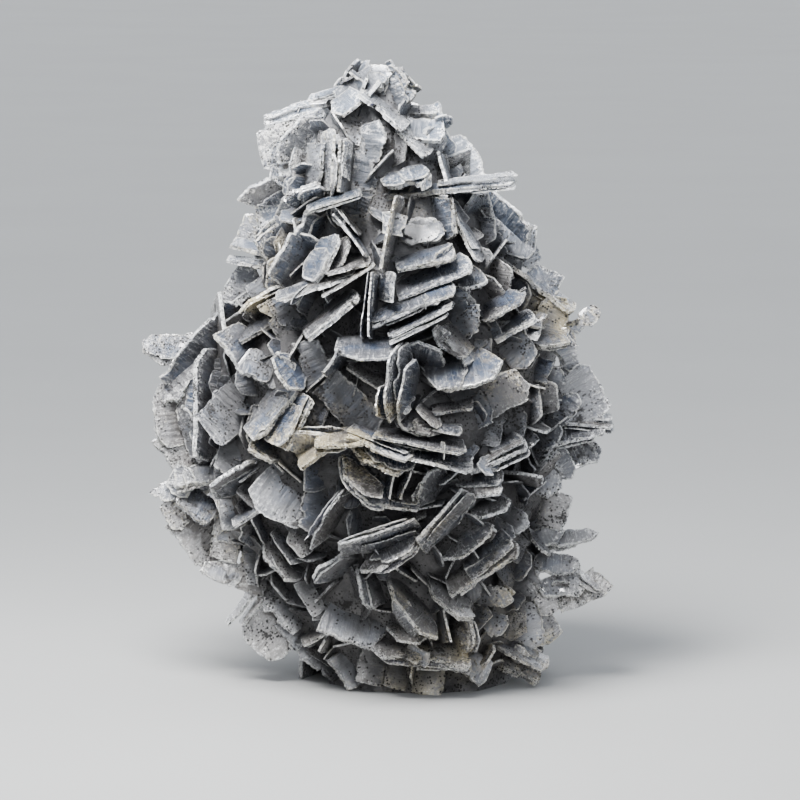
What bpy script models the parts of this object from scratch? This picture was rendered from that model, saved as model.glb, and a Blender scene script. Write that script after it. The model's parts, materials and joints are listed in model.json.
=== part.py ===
"""A cluster of tabular barite crystals: thick blades grown together round one root mass.

The whole cluster is one natural piece. Blades that show from the front are set out one by one,
as they are seen from a point before the cluster and a little above it. The blades of the sides,
the back and the crown follow a rule. All of them are joined to the root mass, and the joined
solid is cut flat where the cluster was taken off its rock. The front is towards -Y.
"""

import math
import random
from typing import NamedTuple

import bmesh
import bpy
from mathutils import Vector
from mathutils.bvhtree import BVHTree

MM = 0.001

# Where the front is seen from: the distance, the rise above level, and the point looked at,
# which lies in the middle of the seen frame. Millimetres and degrees.
EYE_DISTANCE = 1200.0
EYE_RISE = 8.0
AIM = Vector((4.5, 0.0, 84.6))
FRAME_MIDDLE = (4.5, 89.1)

# The root mass that the blades grow from, from the cut base up: height, left and right limit.
ROOT_RINGS = (
    (0, -20, 42),
    (8, -25, 43),
    (20, -34, 44),
    (36, -43, 47),
    (52, -52, 49),
    (68, -56, 50),
    (84, -57, 53),
    (98, -54, 51),
    (112, -45, 47),
    (126, -37, 40),
    (140, -31, 32),
    (154, -26, 22),
    (166, -22, 15),
    (176, -16, 8),
    (183, -8, 3),
)
ROOT_DEPTH_SHARE = 0.82
ROOT_SIDES = 11
ROOT_LUMP = 0.12
ROOT_SEED = 11

# Outlines of a blade in its own plane, on a length and a width of 2, corners in turn.
OUTLINES = {
    "bar": ((-1, -0.7), (0.85, -1), (1, -0.3), (0.9, 1), (-0.9, 0.9)),
    "box": ((-1, -0.8), (0.8, -1), (1, -0.4), (0.85, 0.9), (-0.8, 1)),
    "hex": ((-1, 0.1), (-0.55, -0.95), (0.5, -1), (1, -0.1), (0.6, 0.95), (-0.5, 1)),
    "oval": ((-1, -0.3), (-0.5, -0.95), (0.4, -1), (1, -0.3), (0.85, 0.6), (0.1, 1), (-0.8, 0.7)),
    "fan": ((-1, -0.5), (0.5, -1), (0.9, -0.55), (1, 0.2), (0.7, 0.9), (-0.9, 0.55)),
    "leaf": ((-1, 0.1), (-0.3, -0.8), (0.5, -0.9), (1, -0.1), (0.5, 0.75), (-0.4, 0.85)),
}


class Seen(NamedTuple):
    """A blade as it is seen from the front: place, size and attitude, in millimetres and degrees."""

    across: float  # its middle, to the right of the axis
    up: float  # its middle, above the lowest point seen
    lean: float  # how its long side slopes in the view, anticlockwise from level
    length: float
    width: float
    turn: float  # from face-on, 0, to edge-on, 90: plus shows the face on the long side's left
    dip: float  # how far the head of its long side comes forward
    proud: float  # how far its foremost edge stands before the root mass
    thick: float
    outline: str


CROWN = (
    (-7.5, 182.5, 37, 18, 12, 40, 0, 4, 3.0, "box"),
    (2.5, 183, -55, 15, 12, -25, 0, 4, 4.0, "box"),
    (-2, 185, 70, 11, 9, 20, 0, 5, 3.0, "hex"),
    (0, 176, -38, 19, 10, 65, 0, 8, 2.4, "bar"),
    (-11.5, 178, 40, 11, 8, 35, 0, 7, 2.2, "hex"),
    (-15.5, 179.5, 12, 16, 9, 60, 0, 5, 2.6, "box"),
    (10, 175.5, 0, 13, 7, 55, 0, 4, 3.2, "bar"),
    (11, 170, -3, 15, 10, 35, 0, 6, 2.6, "box"),
    (-29, 166.5, 15, 20, 19, 15, 0, 3, 2.6, "box"),
    (-27.5, 174.5, 17, 20, 10, 60, 0, 3, 3.0, "bar"),
    (-26, 167, 54, 20, 13, -40, 0, 8, 2.6, "leaf"),
    (-33, 152, 20, 25, 13, -40, 0, 8, 3.4, "leaf"),
    (-24, 150.5, 20, 15, 9, -45, 0, 9, 2.6, "leaf"),
    (-17, 161, 89, 20, 8, 55, 0, 9, 2.0, "bar"),
    (-12, 159, 88, 18, 9, -60, 0, 11, 2.2, "bar"),
    (-5, 160.5, 80, 27, 10, 15, 0, 11, 2.2, "hex"),
    (-15.5, 149.3, 19, 18, 10, 72, 0, 14, 1.8, "bar"),
    (-16.5, 147.2, 17, 17, 10, 78, 0, 13, 1.8, "bar"),
    (6.5, 155.5, 9, 16, 9, 50, 0, 9, 2.6, "hex"),
    (19, 153, 7, 41, 12, 72, -6, 13, 2.8, "bar"),
    (23.5, 161, -58, 18, 12, 8, 0, 2, 2.2, "oval"),
    (18, 157, -72, 14, 8, 75, 0, 10, 1.8, "bar"),
    (25.5, 147.5, -8, 15, 13, -30, 0, 3, 2.4, "box"),
)
UPPER_LEFT = (
    (-33.5, 142, -66, 15, 10, -15, 0, 4, 2.4, "box"),
    (-41, 140, 62, 11, 8, 20, 0, 0, 2.6, "fan"),
    (-38, 134.3, -12, 18, 11, 66, 0, 7, 2.8, "bar"),
    (-39, 130.4, -7, 18, 11, 72, 0, 8, 2.0, "bar"),
    (-43.5, 122.5, 68, 17, 11, 15, 0, 3, 2.6, "oval"),
    (-26, 134, 58, 25, 11, -28, 0, 9, 2.8, "bar"),
    (-18.5, 132, 66, 18, 8, 30, 0, 12, 2.8, "oval"),
    (-10, 138.7, -52, 17, 10, 82, 0, 14, 2.0, "bar"),
    (-11, 129.6, 16, 14, 10, 62, 0, 13, 1.8, "bar"),
    (-21, 123.7, 19, 26, 11, 66, 0, 12, 1.8, "bar"),
    (-11, 125.2, 32, 19, 11, 80, 0, 14, 2.0, "bar"),
    (-16, 114.7, 40, 21, 12, 68, 0, 14, 3.4, "bar"),
    (-29.5, 112, -58, 19, 13, -15, 0, 8, 2.6, "box"),
    (-54, 105, 49, 35, 15, -42, 8, 8, 2.8, "bar"),
    (-62, 104, 8, 22, 13, 15, 0, 0, 3.2, "leaf"),
    (-43, 104.5, -50, 18, 12, 30, 0, 9, 3.0, "box"),
    (-36, 98.5, -25, 17, 11, 20, 0, 7, 2.4, "box"),
    (-29, 98, -50, 16, 9, 32, 0, 10, 2.6, "leaf"),
    (-21, 98.5, -66, 20, 10, -12, 0, 8, 2.4, "box"),
    (-11, 87.5, -42, 25, 13, -15, 0, 8, 2.8, "box"),
)
UPPER_RIGHT = (
    (2, 138.5, 78, 25, 12, -76, 0, 15, 2.4, "bar"),
    (-4, 117.5, 87, 21, 12, -80, 0, 14, 1.8, "bar"),
    (11, 139.6, 4, 15, 10, 22, 0, 10, 2.8, "oval"),
    (12, 131.6, 15, 19, 10, 56, 0, 13, 2.2, "bar"),
    (14.5, 126, 23, 25, 11, 48, 0, 11, 2.2, "bar"),
    (7.5, 118.3, 24, 29, 10, 52, 0, 13, 2.4, "bar"),
    (10.5, 113.6, 28, 22, 12, 72, 0, 16, 2.0, "bar"),
    (10, 110.8, 27, 20, 12, 76, 0, 17, 2.0, "bar"),
    (18, 144, -80, 15, 10, -52, 0, 9, 2.4, "box"),
    (24.7, 138, -58, 18, 11, 68, 0, 11, 1.8, "bar"),
    (36.5, 138.3, -15, 20, 13, 12, 0, 2, 2.6, "box"),
    (35.5, 130.5, -40, 14, 10, 20, 0, 7, 2.8, "hex"),
    (48, 125.3, -27, 12, 8, 25, 0, 1, 2.8, "bar"),
    (49.3, 121.3, -37, 20, 11, 66, 0, 5, 2.8, "bar"),
    (59.5, 113.3, 42, 13, 8, 15, 0, -1, 3.2, "oval"),
    (48.5, 112.5, 62, 19, 13, -15, 0, 5, 2.8, "oval"),
    (34, 117, 31, 20, 9, 46, 0, 10, 2.2, "leaf"),
    (38.5, 111.5, 31, 15, 8, 55, 0, 10, 2.4, "bar"),
    (23.5, 115.5, -82, 17, 12, -12, 0, 7, 2.6, "oval"),
    (38, 105.5, -50, 18, 12, 10, 0, 8, 2.6, "hex"),
    (19.5, 105.5, -31, 14, 9, 60, 0, 13, 1.6, "leaf"),
    (22, 106, -46, 15, 9, 50, 0, 11, 1.6, "bar"),
    (12, 102.5, -17, 14, 9, -32, 0, 11, 2.4, "leaf"),
    (-5.5, 104.8, 0, 22, 14, 58, 0, 15, 2.4, "oval"),
    (-14.7, 99.5, 54, 10, 11, -70, 0, 14, 2.0, "bar"),
    (3, 94.5, 84, 25, 10, -48, 0, 15, 2.4, "leaf"),
    (7, 92, 79, 20, 10, -60, 0, 15, 2.2, "leaf"),
    (23, 97.8, 16, 26, 14, 36, 0, 14, 3.0, "leaf"),
    (29.5, 88.5, 30, 33, 15, 28, 0, 11, 2.8, "box"),
    (49, 91, 76, 19, 10, -12, 0, 6, 2.6, "oval"),
    (54.5, 104.5, -70, 15, 9, -10, 0, 2, 2.6, "oval"),
    (58.5, 91, -60, 22, 15, 10, 0, -1, 2.8, "hex"),
)
MIDDLE = (
    (10.5, 76.7, -10, 28, 13, 72, 0, 18, 2.4, "bar"),
    (14, 72, -12, 26, 13, 70, 0, 18, 3.0, "bar"),
    (-21, 73.8, 40, 14, 12, 62, 0, 16, 2.8, "bar"),
    (-13.5, 77.6, 7, 16, 13, 62, 0, 17, 2.8, "bar"),
    (-1.5, 76, -18, 21, 12, 62, 0, 16, 2.6, "bar"),
    (-1, 71.8, -17, 21, 10, 38, 0, 15, 2.6, "leaf"),
    (-6.5, 64.8, -42, 22, 11, 35, 0, 12, 2.8, "leaf"),
    (3.5, 58.7, -5, 15, 11, 60, 0, 10, 2.2, "bar"),
    (14, 63, 62, 15, 9, -38, 0, 10, 2.2, "leaf"),
    (17, 80.7, -8, 13, 11, 74, 0, 14, 1.6, "bar"),
    (10, 82.5, -18, 15, 9, 35, 0, 10, 2.4, "hex"),
    (33.5, 72.7, 25, 20, 11, 62, 0, 14, 2.8, "bar"),
    (28, 63, 8, 15, 8, 25, 0, 9, 2.2, "box"),
    (41, 65.7, -8, 14, 9, -66, 0, 10, 2.0, "bar"),
    (45.5, 66.7, -18, 18, 13, 12, 0, 5, 2.4, "hex"),
    (47, 77, 40, 16, 10, 22, 0, 7, 2.4, "fan"),
    (58, 79.2, 15, 17, 12, 62, 0, 5, 3.0, "bar"),
    (61, 82.6, -4, 16, 12, 74, 0, 2, 2.2, "bar"),
    (59, 73, 20, 13, 10, 20, 0, -1, 2.8, "hex"),
    (31, 57, 15, 15, 9, 50, 0, 11, 2.4, "leaf"),
    (18.3, 52.7, 47, 23, 12, -58, 0, 15, 3.2, "bar"),
    (50.5, 56, 80, 13, 11, 10, 0, 1, 2.4, "box"),
    (55, 47.6, 13, 20, 9, 55, 0, 2, 2.8, "leaf"),
)
LEFT = (
    (-64, 84, -82, 22, 12, 20, 0, 1, 3.6, "oval"),
    (-62, 95, 48, 18, 11, 30, 0, 3, 3.4, "oval"),
    (-58, 79, -68, 20, 9, -32, 0, 5, 2.4, "leaf"),
    (-62.5, 73.5, -50, 15, 11, 15, 0, -1, 3.4, "box"),
    (-45, 87, 47, 25, 16, 14, 0, 9, 2.8, "box"),
    (-34, 86, 54, 21, 9, 28, 0, 11, 2.4, "bar"),
    (-28, 83, 66, 18, 9, 30, 0, 11, 2.4, "bar"),
    (-55, 66.6, 14, 18, 11, 52, 0, 8, 2.8, "bar"),
    (-44, 65.3, 27, 19, 10, -48, 0, 11, 2.6, "bar"),
    (-61, 64.5, 62, 11, 10, 25, 0, 6, 3.4, "hex"),
    (-56.5, 58, -30, 14, 10, 28, 0, 7, 3.0, "box"),
    (-30.5, 59.5, -34, 21, 17, 10, 0, 11, 2.8, "oval"),
    (-20, 57.5, 70, 19, 12, -15, 0, 9, 2.6, "oval"),
    (-16, 53.5, 56, 23, 12, -66, 0, 15, 1.8, "leaf"),
    (-47, 49.5, 84, 20, 11, 10, 0, 6, 2.6, "box"),
    (-55.5, 48.3, -45, 20, 16, 18, 0, -1, 3.0, "box"),
    (-63, 55, -62, 12, 8, 15, 0, 0, 2.6, "hex"),
)
LOWER_LEFT = (
    (-38.5, 38.5, 80, 18, 12, 15, 0, 8, 2.8, "box"),
    (-31, 41.5, -42, 18, 11, 36, 0, 10, 2.6, "leaf"),
    (-43.5, 27, 54, 14, 8, 70, 0, 5, 2.0, "bar"),
    (-40.3, 26, 54, 12, 8, 70, 0, 5, 1.8, "bar"),
    (-34.5, 19.3, -45, 18, 16, 10, 0, 1, 2.8, "oval"),
    (-29.5, 25.5, -35, 14, 11, 20, 0, 6, 2.8, "box"),
    (-20.5, 30, -62, 15, 11, 10, 0, 8, 2.4, "box"),
    (-15, 38.5, 30, 16, 9, -42, 0, 11, 2.2, "leaf"),
    (-26, 18, -55, 16, 10, 15, 0, 5, 2.8, "box"),
    (-19.5, 11.5, -33, 17, 9, 20, 0, 2, 3.0, "bar"),
    (-9.5, 21.5, -14, 22, 13, 22, 0, 11, 3.0, "box"),
    (-10.5, 9, -50, 13, 11, 15, 0, 4, 3.0, "box"),
    (-3.5, 9.5, 84, 14, 11, -10, 0, 5, 3.2, "box"),
    (-5, 33.5, -76, 15, 8, 30, 0, 8, 2.2, "bar"),
    (-1.5, 47.3, 18, 26, 13, -64, 0, 16, 2.0, "bar"),
    (1.5, 42.5, 31, 21, 12, 58, 0, 16, 2.6, "leaf"),
)
LOWER_RIGHT = (
    (8, 27, -49, 25, 12, 58, 0, 14, 2.6, "leaf"),
    (19.5, 30, -38, 20, 9, 42, 0, 12, 2.2, "leaf"),
    (6.5, 19.3, -8, 13, 9, 50, 0, 13, 2.0, "leaf"),
    (4, 14, -5, 19, 9, 40, 0, 11, 2.8, "leaf"),
    (17.5, 12.8, -6, 18, 9, 35, 0, 11, 2.8, "box"),
    (13.5, 5.5, 86, 12, 12, 10, 0, 8, 4.0, "box"),
    (4, 7, 82, 11, 9, -10, 0, 6, 3.2, "box"),
    (28.5, 40, 33, 26, 12, 46, 0, 13, 2.8, "box"),
    (25, 46.5, 38, 20, 10, 48, 0, 11, 2.2, "leaf"),
    (41, 37, -66, 21, 11, -10, 0, 7, 2.6, "box"),
    (51.5, 40, -5, 16, 9, 35, 0, 3, 2.4, "oval"),
    (53, 33.3, 5, 16, 9, 28, 0, 4, 2.8, "hex"),
    (60, 35, -32, 15, 9, 65, 0, 3, 1.8, "leaf"),
    (41, 21.5, -76, 18, 14, 5, 0, 5, 2.6, "box"),
    (31, 23, -25, 13, 10, 18, 0, 8, 2.4, "fan"),
    (47.5, 22.5, -60, 14, 9, 22, 0, 0, 2.4, "box"),
    (40, 13.5, -26, 21, 11, 64, 0, 8, 2.2, "bar"),
    (38, 9.5, -25, 20, 11, 54, 0, 8, 3.0, "bar"),
    (26, 9.5, -30, 13, 10, 20, 0, 5, 3.0, "box"),
    (30, 30.5, -6, 20, 9, -22, 0, 7, 2.2, "leaf"),
)
FRONT = CROWN + UPPER_LEFT + UPPER_RIGHT + MIDDLE + LEFT + LOWER_LEFT + LOWER_RIGHT

# The blades that the rule sets over the sides, the back and the crown: rows up the root mass,
# and in each row the spacing round it. Azimuth 0 is the front, and grows to the right.
# A pair is a range that a seeded value is drawn from.
ROW_FIRST = 4.0
ROW_LAST = 172.0
ROW_RISE = 16.5
ROW_SPACING = 24.0
RULE_FROM = 78.0
RULE_TO = 282.0
RULE_SEED = 5
RULE_WANDER = (-4.0, 4.0)
RULE_LENGTH = (24.0, 38.0)
RULE_WIDTH = (18.0, 26.0)
RULE_THICK = (2.4, 3.6)
RULE_TURN = (25.0, 75.0)
RULE_DIP = (-16.0, 16.0)
RULE_PROUD = (8.0, 14.0)
CROWN_BLADES = 4
CROWN_RING = (5.0, 8.0)
CROWN_MIDDLE = (-3.0, 4.0, 176.0)
CROWN_SPLAY = 0.4

# Clear of everything, for looking for the root mass from outside it.
CLEAR = 200.0
# A height step that the root mass's slope is read over.
RUN = 4.0
# How deep a blade is rooted, and the share of its width that points inward before it can be widened.
ROOTED = 3.0
STEEP = 0.5

# Corners nearer than this are one corner.
WELD = 0.002

# The cut that took the cluster off its rock.
CUT_DEPTH = 30.0
CUT_REACH = 200.0


def sight_axes():
    """The right, the up and the forward direction of the view that the front is set out in."""
    rise = math.radians(EYE_RISE)
    right = Vector((1, 0, 0))
    up = Vector((0, math.sin(rise), math.cos(rise)))
    toward = Vector((0, -math.cos(rise), math.sin(rise)))
    return right, up, toward


def on_sight_line(across, up, depth):
    """The point seen at (across, up), that far behind the plane through the axis."""
    right, rising, toward = sight_axes()
    spread = 1 + depth / EYE_DISTANCE
    offset = right * (across - FRAME_MIDDLE[0]) + rising * (up - FRAME_MIDDLE[1])
    return AIM + offset * spread - toward * depth


def root_section(height):
    """The root mass at a height: the middle of its section, half its breadth and half its depth."""
    last = len(ROOT_RINGS) - 2
    ring = min(last, max(0, sum(height >= level for level, _, _ in ROOT_RINGS) - 1))
    (low, left_low, right_low), (high, left_high, right_high) = ROOT_RINGS[ring : ring + 2]
    share = min(1.0, max(0.0, (height - low) / (high - low)))
    left = left_low + (left_high - left_low) * share
    right = right_low + (right_high - right_low) * share
    half = (right - left) / 2
    return (left + right) / 2, half, half * ROOT_DEPTH_SHARE


def root_depth(root_skin, across, up):
    """How far back the root mass is met on a sight line. Beside the mass it is the axis plane."""
    near = on_sight_line(across, up, -CLEAR)
    far = on_sight_line(across, up, 0)
    met, _, _, distance = root_skin.ray_cast(near, (far - near).normalized(), (far - near).length)
    return 0 if met is None else distance - CLEAR


def blade_axes(right, up, toward, lean, turn, dip):
    """The directions of a blade's length, width and normal, from its attitude in a view."""
    lean, turn, dip = (math.radians(angle) for angle in (lean, turn, dip))
    level = right * math.cos(lean) + up * math.sin(lean)
    across = up * math.cos(lean) - right * math.sin(lean)
    along = level * math.cos(dip) + toward * math.sin(dip)
    facing = toward * math.cos(dip) - level * math.sin(dip)
    normal = facing * math.cos(turn) + across * math.sin(turn)
    return along, normal.cross(along), normal


def rooted(axes, sizes, toward, proud):
    """A blade's width and pride, and how far its middle moves, so that it reaches into the root mass.

    A blade near edge-on grows wider at its hidden side. One near face-on stands less proud.
    """
    length, width, thick = sizes
    slopes = [axis.dot(toward) for axis in axes]
    deep = sum(abs(slope) * size for slope, size in zip(slopes, sizes))
    short = max(0.0, proud + ROOTED - deep)
    if abs(slopes[1]) < STEEP:
        return sizes, proud - short, deep / 2, Vector((0, 0, 0))
    wider = short / abs(slopes[1])
    move = axes[1] * math.copysign(wider / 2, -slopes[1])
    return (length, width + wider, thick), proud, deep / 2, move


def front_blades(root_skin):
    """Each blade seen from the front: its middle, its axes, its sizes and its outline."""
    right, up, toward = sight_axes()
    for row in FRONT:
        seen = Seen(*row)
        axes = blade_axes(right, up, toward, seen.lean, seen.turn, seen.dip)
        sizes, proud, reach, move = rooted(axes, (seen.length, seen.width, seen.thick), toward, seen.proud)
        depth = root_depth(root_skin, seen.across, seen.up) - proud + reach
        yield on_sight_line(seen.across, seen.up, depth) + move, axes, sizes, seen.outline


def root_surface(root_skin, height, azimuth):
    """A point on the root mass's side, and the way out of it there."""
    middle, half, deep = root_section(height)
    angle = math.radians(azimuth)
    way = Vector((math.sin(angle), -math.cos(angle), 0))
    met, _, _, _ = root_skin.ray_cast(Vector((middle, 0, height)) + way * CLEAR, -way)
    upper_half = root_section(height + RUN)[1]
    out = Vector((math.sin(angle) / half, -math.cos(angle) / deep, 0)).normalized()
    return met, (out + Vector((0, 0, (half - upper_half) / RUN))).normalized()


def grown_blade(rng, point, toward):
    """One blade of the rule: any lean, near edge-on, its rim standing off the root mass."""
    right = Vector((0, 0, 1)).cross(toward).normalized()
    up = toward.cross(right)
    turn = rng.choice((-1, 1)) * rng.uniform(*RULE_TURN)
    axes = blade_axes(right, up, toward, rng.uniform(0, 180), turn, rng.uniform(*RULE_DIP))
    sizes = (rng.uniform(*RULE_LENGTH), rng.uniform(*RULE_WIDTH), rng.uniform(*RULE_THICK))
    sizes, proud, reach, move = rooted(axes, sizes, toward, rng.uniform(*RULE_PROUD))
    middle = point + toward * (proud - reach) + move
    return middle, axes, sizes, rng.choice(tuple(OUTLINES))


def rule_blades(root_skin):
    rng = random.Random(RULE_SEED)
    height = ROW_FIRST
    while height <= ROW_LAST:
        _, half, deep = root_section(height)
        girth = math.pi * (half + deep)
        count = max(3, round(girth * (RULE_TO - RULE_FROM) / 360 / ROW_SPACING))
        for place in range(count):
            share = (place + rng.uniform(0.2, 0.8)) / count
            azimuth = RULE_FROM + (RULE_TO - RULE_FROM) * share
            point, toward = root_surface(root_skin, height + rng.uniform(*RULE_WANDER), azimuth)
            yield grown_blade(rng, point, toward)
        height += ROW_RISE
    for place in range(CROWN_BLADES):
        angle = math.tau * place / CROWN_BLADES
        round_it = Vector((math.sin(angle), -math.cos(angle), 0))
        offset = Vector((round_it.x * CROWN_RING[0], round_it.y * CROWN_RING[1], 0))
        point = Vector(CROWN_MIDDLE) + offset
        toward = (round_it * CROWN_SPLAY + Vector((0, 0, 1))).normalized()
        yield grown_blade(rng, point, toward)


def mesh_of(name, points, faces):
    """A closed mesh from points in millimetres, its faces pointing out."""
    mesh = bpy.data.meshes.new(name)
    mesh.from_pydata([point * MM for point in points], [], faces)
    shell = bmesh.new()
    shell.from_mesh(mesh)
    bmesh.ops.recalc_face_normals(shell, faces=shell.faces)
    shell.to_mesh(mesh)
    shell.free()
    return mesh


def blade_mesh(middle, axes, sizes, outline):
    """A flat plate with the outline's corners, its rim square to its faces."""
    along, across, normal = axes
    length, width, thick = sizes
    corners = OUTLINES[outline]
    points = [
        middle + along * (x * length / 2) + across * (y * width / 2) + normal * (side * thick / 2)
        for side in (-1, 1)
        for x, y in corners
    ]
    count = len(corners)
    rim = [(i, (i + 1) % count, count + (i + 1) % count, count + i) for i in range(count)]
    faces = [tuple(range(count)), tuple(range(count, 2 * count)), *rim]
    return mesh_of("blade", points, faces)


def root_shape():
    """The root mass: rings of lumpy ellipses from below the cut to the top, as points and faces."""
    rng = random.Random(ROOT_SEED)
    levels = [-CUT_DEPTH / 2, *(level for level, _, _ in ROOT_RINGS)]
    points = []
    for level in levels:
        middle, half, deep = root_section(level)
        for side in range(ROOT_SIDES):
            angle = math.tau * side / ROOT_SIDES
            lump = 1 - rng.uniform(0, ROOT_LUMP)
            spot = (middle + half * lump * math.sin(angle), -deep * lump * math.cos(angle), level)
            points.append(Vector(spot))
    faces = []
    for ring in range(len(levels) - 1):
        for side in range(ROOT_SIDES):
            low, low_next = ring * ROOT_SIDES + side, ring * ROOT_SIDES + (side + 1) % ROOT_SIDES
            faces.append((low, low_next, low_next + ROOT_SIDES, low + ROOT_SIDES))
    faces.append(tuple(range(ROOT_SIDES)))
    faces.append(tuple(range((len(levels) - 1) * ROOT_SIDES, len(levels) * ROOT_SIDES)))
    return points, faces


def helper(name, mesh, collection):
    """An object that only shapes the cluster and isn't part of the model."""
    made = bpy.data.objects.new(name, mesh)
    made.hide_render = True
    made.display_type = "WIRE"
    collection.objects.link(made)
    return made


def cut_box():
    """The block below the base that the cut takes away."""
    shape = bmesh.new()
    bmesh.ops.create_cube(shape, size=1)
    for corner in shape.verts:
        spot = (corner.co.x * CUT_REACH, corner.co.y * CUT_REACH, (corner.co.z - 0.5) * CUT_DEPTH)
        corner.co = Vector(spot) * MM
    mesh = bpy.data.meshes.new("base_cut")
    shape.to_mesh(mesh)
    shape.free()
    return mesh


def outer_skin(mesh):
    """Fills the pockets sealed between crossing blades: the largest shell of faces stays."""
    shell = bmesh.new()
    shell.from_mesh(mesh)
    bmesh.ops.remove_doubles(shell, verts=shell.verts, dist=WELD * MM)
    unseen = set(shell.faces)
    shells = []
    while unseen:
        edge_of_search = [unseen.pop()]
        found = list(edge_of_search)
        while edge_of_search:
            face = edge_of_search.pop()
            near = {other for edge in face.edges for other in edge.link_faces} & unseen
            unseen -= near
            edge_of_search.extend(near)
            found.extend(near)
        shells.append(found)
    shells.sort(key=len)
    for pocket in shells[:-1]:
        bmesh.ops.delete(shell, geom=pocket, context="FACES")
    bmesh.ops.triangulate(shell, faces=shell.faces)
    shell.to_mesh(mesh)
    shell.free()
    return mesh


def barite():
    """Blue-grey barite with a frosted skin."""
    material = bpy.data.materials.new("barite")
    material.use_nodes = True
    shader = material.node_tree.nodes["Principled BSDF"]
    shader.inputs["Base Color"].default_value = (0.42, 0.44, 0.47, 1)
    shader.inputs["Roughness"].default_value = 0.5
    shader.inputs["Metallic"].default_value = 0
    return material


def cluster():
    """The root mass joined with every blade, cut flat below, as one closed solid."""
    scene = bpy.context.scene.collection
    blades = bpy.data.collections.new("blades")
    cutters = bpy.data.collections.new("cutters")
    scene.children.link(blades)
    scene.children.link(cutters)
    points, faces = root_shape()
    root_skin = BVHTree.FromPolygons(points, faces)
    for number, blade in enumerate([*front_blades(root_skin), *rule_blades(root_skin)]):
        helper(f"blade_{number:03d}", blade_mesh(*blade), blades)
    cutter = helper("base_cut", cut_box(), cutters)
    root = helper("root_mass", mesh_of("root_mass", points, faces), cutters)
    join = root.modifiers.new("grown together", "BOOLEAN")
    join.operation = "UNION"
    join.operand_type = "COLLECTION"
    join.collection = blades
    cut = root.modifiers.new("cut off the rock", "BOOLEAN")
    cut.operation = "DIFFERENCE"
    cut.object = cutter
    graph = bpy.context.evaluated_depsgraph_get()
    mesh = outer_skin(bpy.data.meshes.new_from_object(root.evaluated_get(graph)))
    for done in [*blades.objects, cutter, root]:
        bpy.data.objects.remove(done)
    mesh.materials.clear()
    mesh.materials.append(barite())
    scene.objects.link(bpy.data.objects.new("barite_crystal_cluster", mesh))


for existing in list(bpy.data.objects):
    bpy.data.objects.remove(existing)
cluster()
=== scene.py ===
"""The looks of an upright cluster of tabular barite crystals.

The cluster is one natural piece. Here its blades are made one by one as stacks of thin broken
plates, in the places of the solid's blades, with smaller plates in the hollows between them.
The front is towards -Y. Lengths are in millimetres and angles in degrees until a mesh is made.
"""

import json
import math
import random
from typing import NamedTuple

import bmesh
import bpy
import numpy as np
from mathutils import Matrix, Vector
from mathutils.bvhtree import BVHTree

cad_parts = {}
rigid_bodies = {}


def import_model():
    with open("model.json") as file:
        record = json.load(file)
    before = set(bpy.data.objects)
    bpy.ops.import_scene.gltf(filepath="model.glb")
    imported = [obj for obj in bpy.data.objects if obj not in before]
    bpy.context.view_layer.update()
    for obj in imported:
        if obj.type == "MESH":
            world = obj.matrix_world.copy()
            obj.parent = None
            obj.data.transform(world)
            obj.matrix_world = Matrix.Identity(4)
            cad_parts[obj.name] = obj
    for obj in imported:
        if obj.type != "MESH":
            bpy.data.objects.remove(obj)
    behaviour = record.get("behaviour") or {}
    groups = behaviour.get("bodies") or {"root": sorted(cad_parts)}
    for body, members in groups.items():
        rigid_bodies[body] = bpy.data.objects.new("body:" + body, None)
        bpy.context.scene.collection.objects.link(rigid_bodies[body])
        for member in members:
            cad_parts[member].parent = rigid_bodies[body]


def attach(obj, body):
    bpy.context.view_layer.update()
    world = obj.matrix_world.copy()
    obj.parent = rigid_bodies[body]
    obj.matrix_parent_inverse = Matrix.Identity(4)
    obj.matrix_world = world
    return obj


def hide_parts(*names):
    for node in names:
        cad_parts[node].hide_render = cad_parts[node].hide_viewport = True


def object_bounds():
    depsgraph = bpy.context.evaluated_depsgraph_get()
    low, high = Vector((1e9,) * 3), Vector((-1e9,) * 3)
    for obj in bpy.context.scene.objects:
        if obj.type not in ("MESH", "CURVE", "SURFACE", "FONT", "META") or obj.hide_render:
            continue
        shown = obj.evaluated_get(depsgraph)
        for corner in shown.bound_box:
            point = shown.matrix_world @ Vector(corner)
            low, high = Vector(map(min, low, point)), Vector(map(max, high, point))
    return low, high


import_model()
cad_low, cad_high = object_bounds()

# The mass that the blades grow out of. It is a lump of older barite crystals and dull matrix,
# seen only in the gaps, where it is coloured nearly black as painted shade deep in the cluster.
# It is pear-shaped, and sawn or broken off flat at the base. Its barite is the blades' too, so
# that the material is made here.
NODE = "barite_crystal_cluster"
MM = 0.001
# Rings of the root mass: height, and its left and right side at that height.
ROOT_RINGS = (
    (0, -20, 42),
    (8, -25, 43),
    (20, -34, 44),
    (36, -43, 47),
    (52, -52, 49),
    (68, -56, 50),
    (84, -57, 53),
    (98, -54, 51),
    (112, -45, 47),
    (126, -37, 40),
    (140, -31, 32),
    (154, -26, 22),
    (166, -22, 15),
    (176, -16, 8),
    (183, -8, 3),
)
ROOT_DEPTH_SHARE = 0.82
ROOT_SIDES = 11
ROOT_LUMP = 0.12
ROOT_SEED = 11
ROOT_FOOT = -15.0
ROOT_CUTS = 4
# How far the skin crumbles away in lumps and in grains, each with its seed, and what it leaves.
LUMPS, LUMP_SEED = 1.6, 3
GRAINS, GRAIN_SEED, GRAIN_PITCH = 0.7, 4, 2.4
ON_THE_CUT = 0.01
NEAR_THE_CUT = 3.0
# What the material is told of the root mass: how far its points are from a rim, and its tone.
ROOT_RIM = 5.0
ROOT_TONE = 0.4
ROOT_SHARP = 50.0
BLADE_SHARP = 16.0


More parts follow.
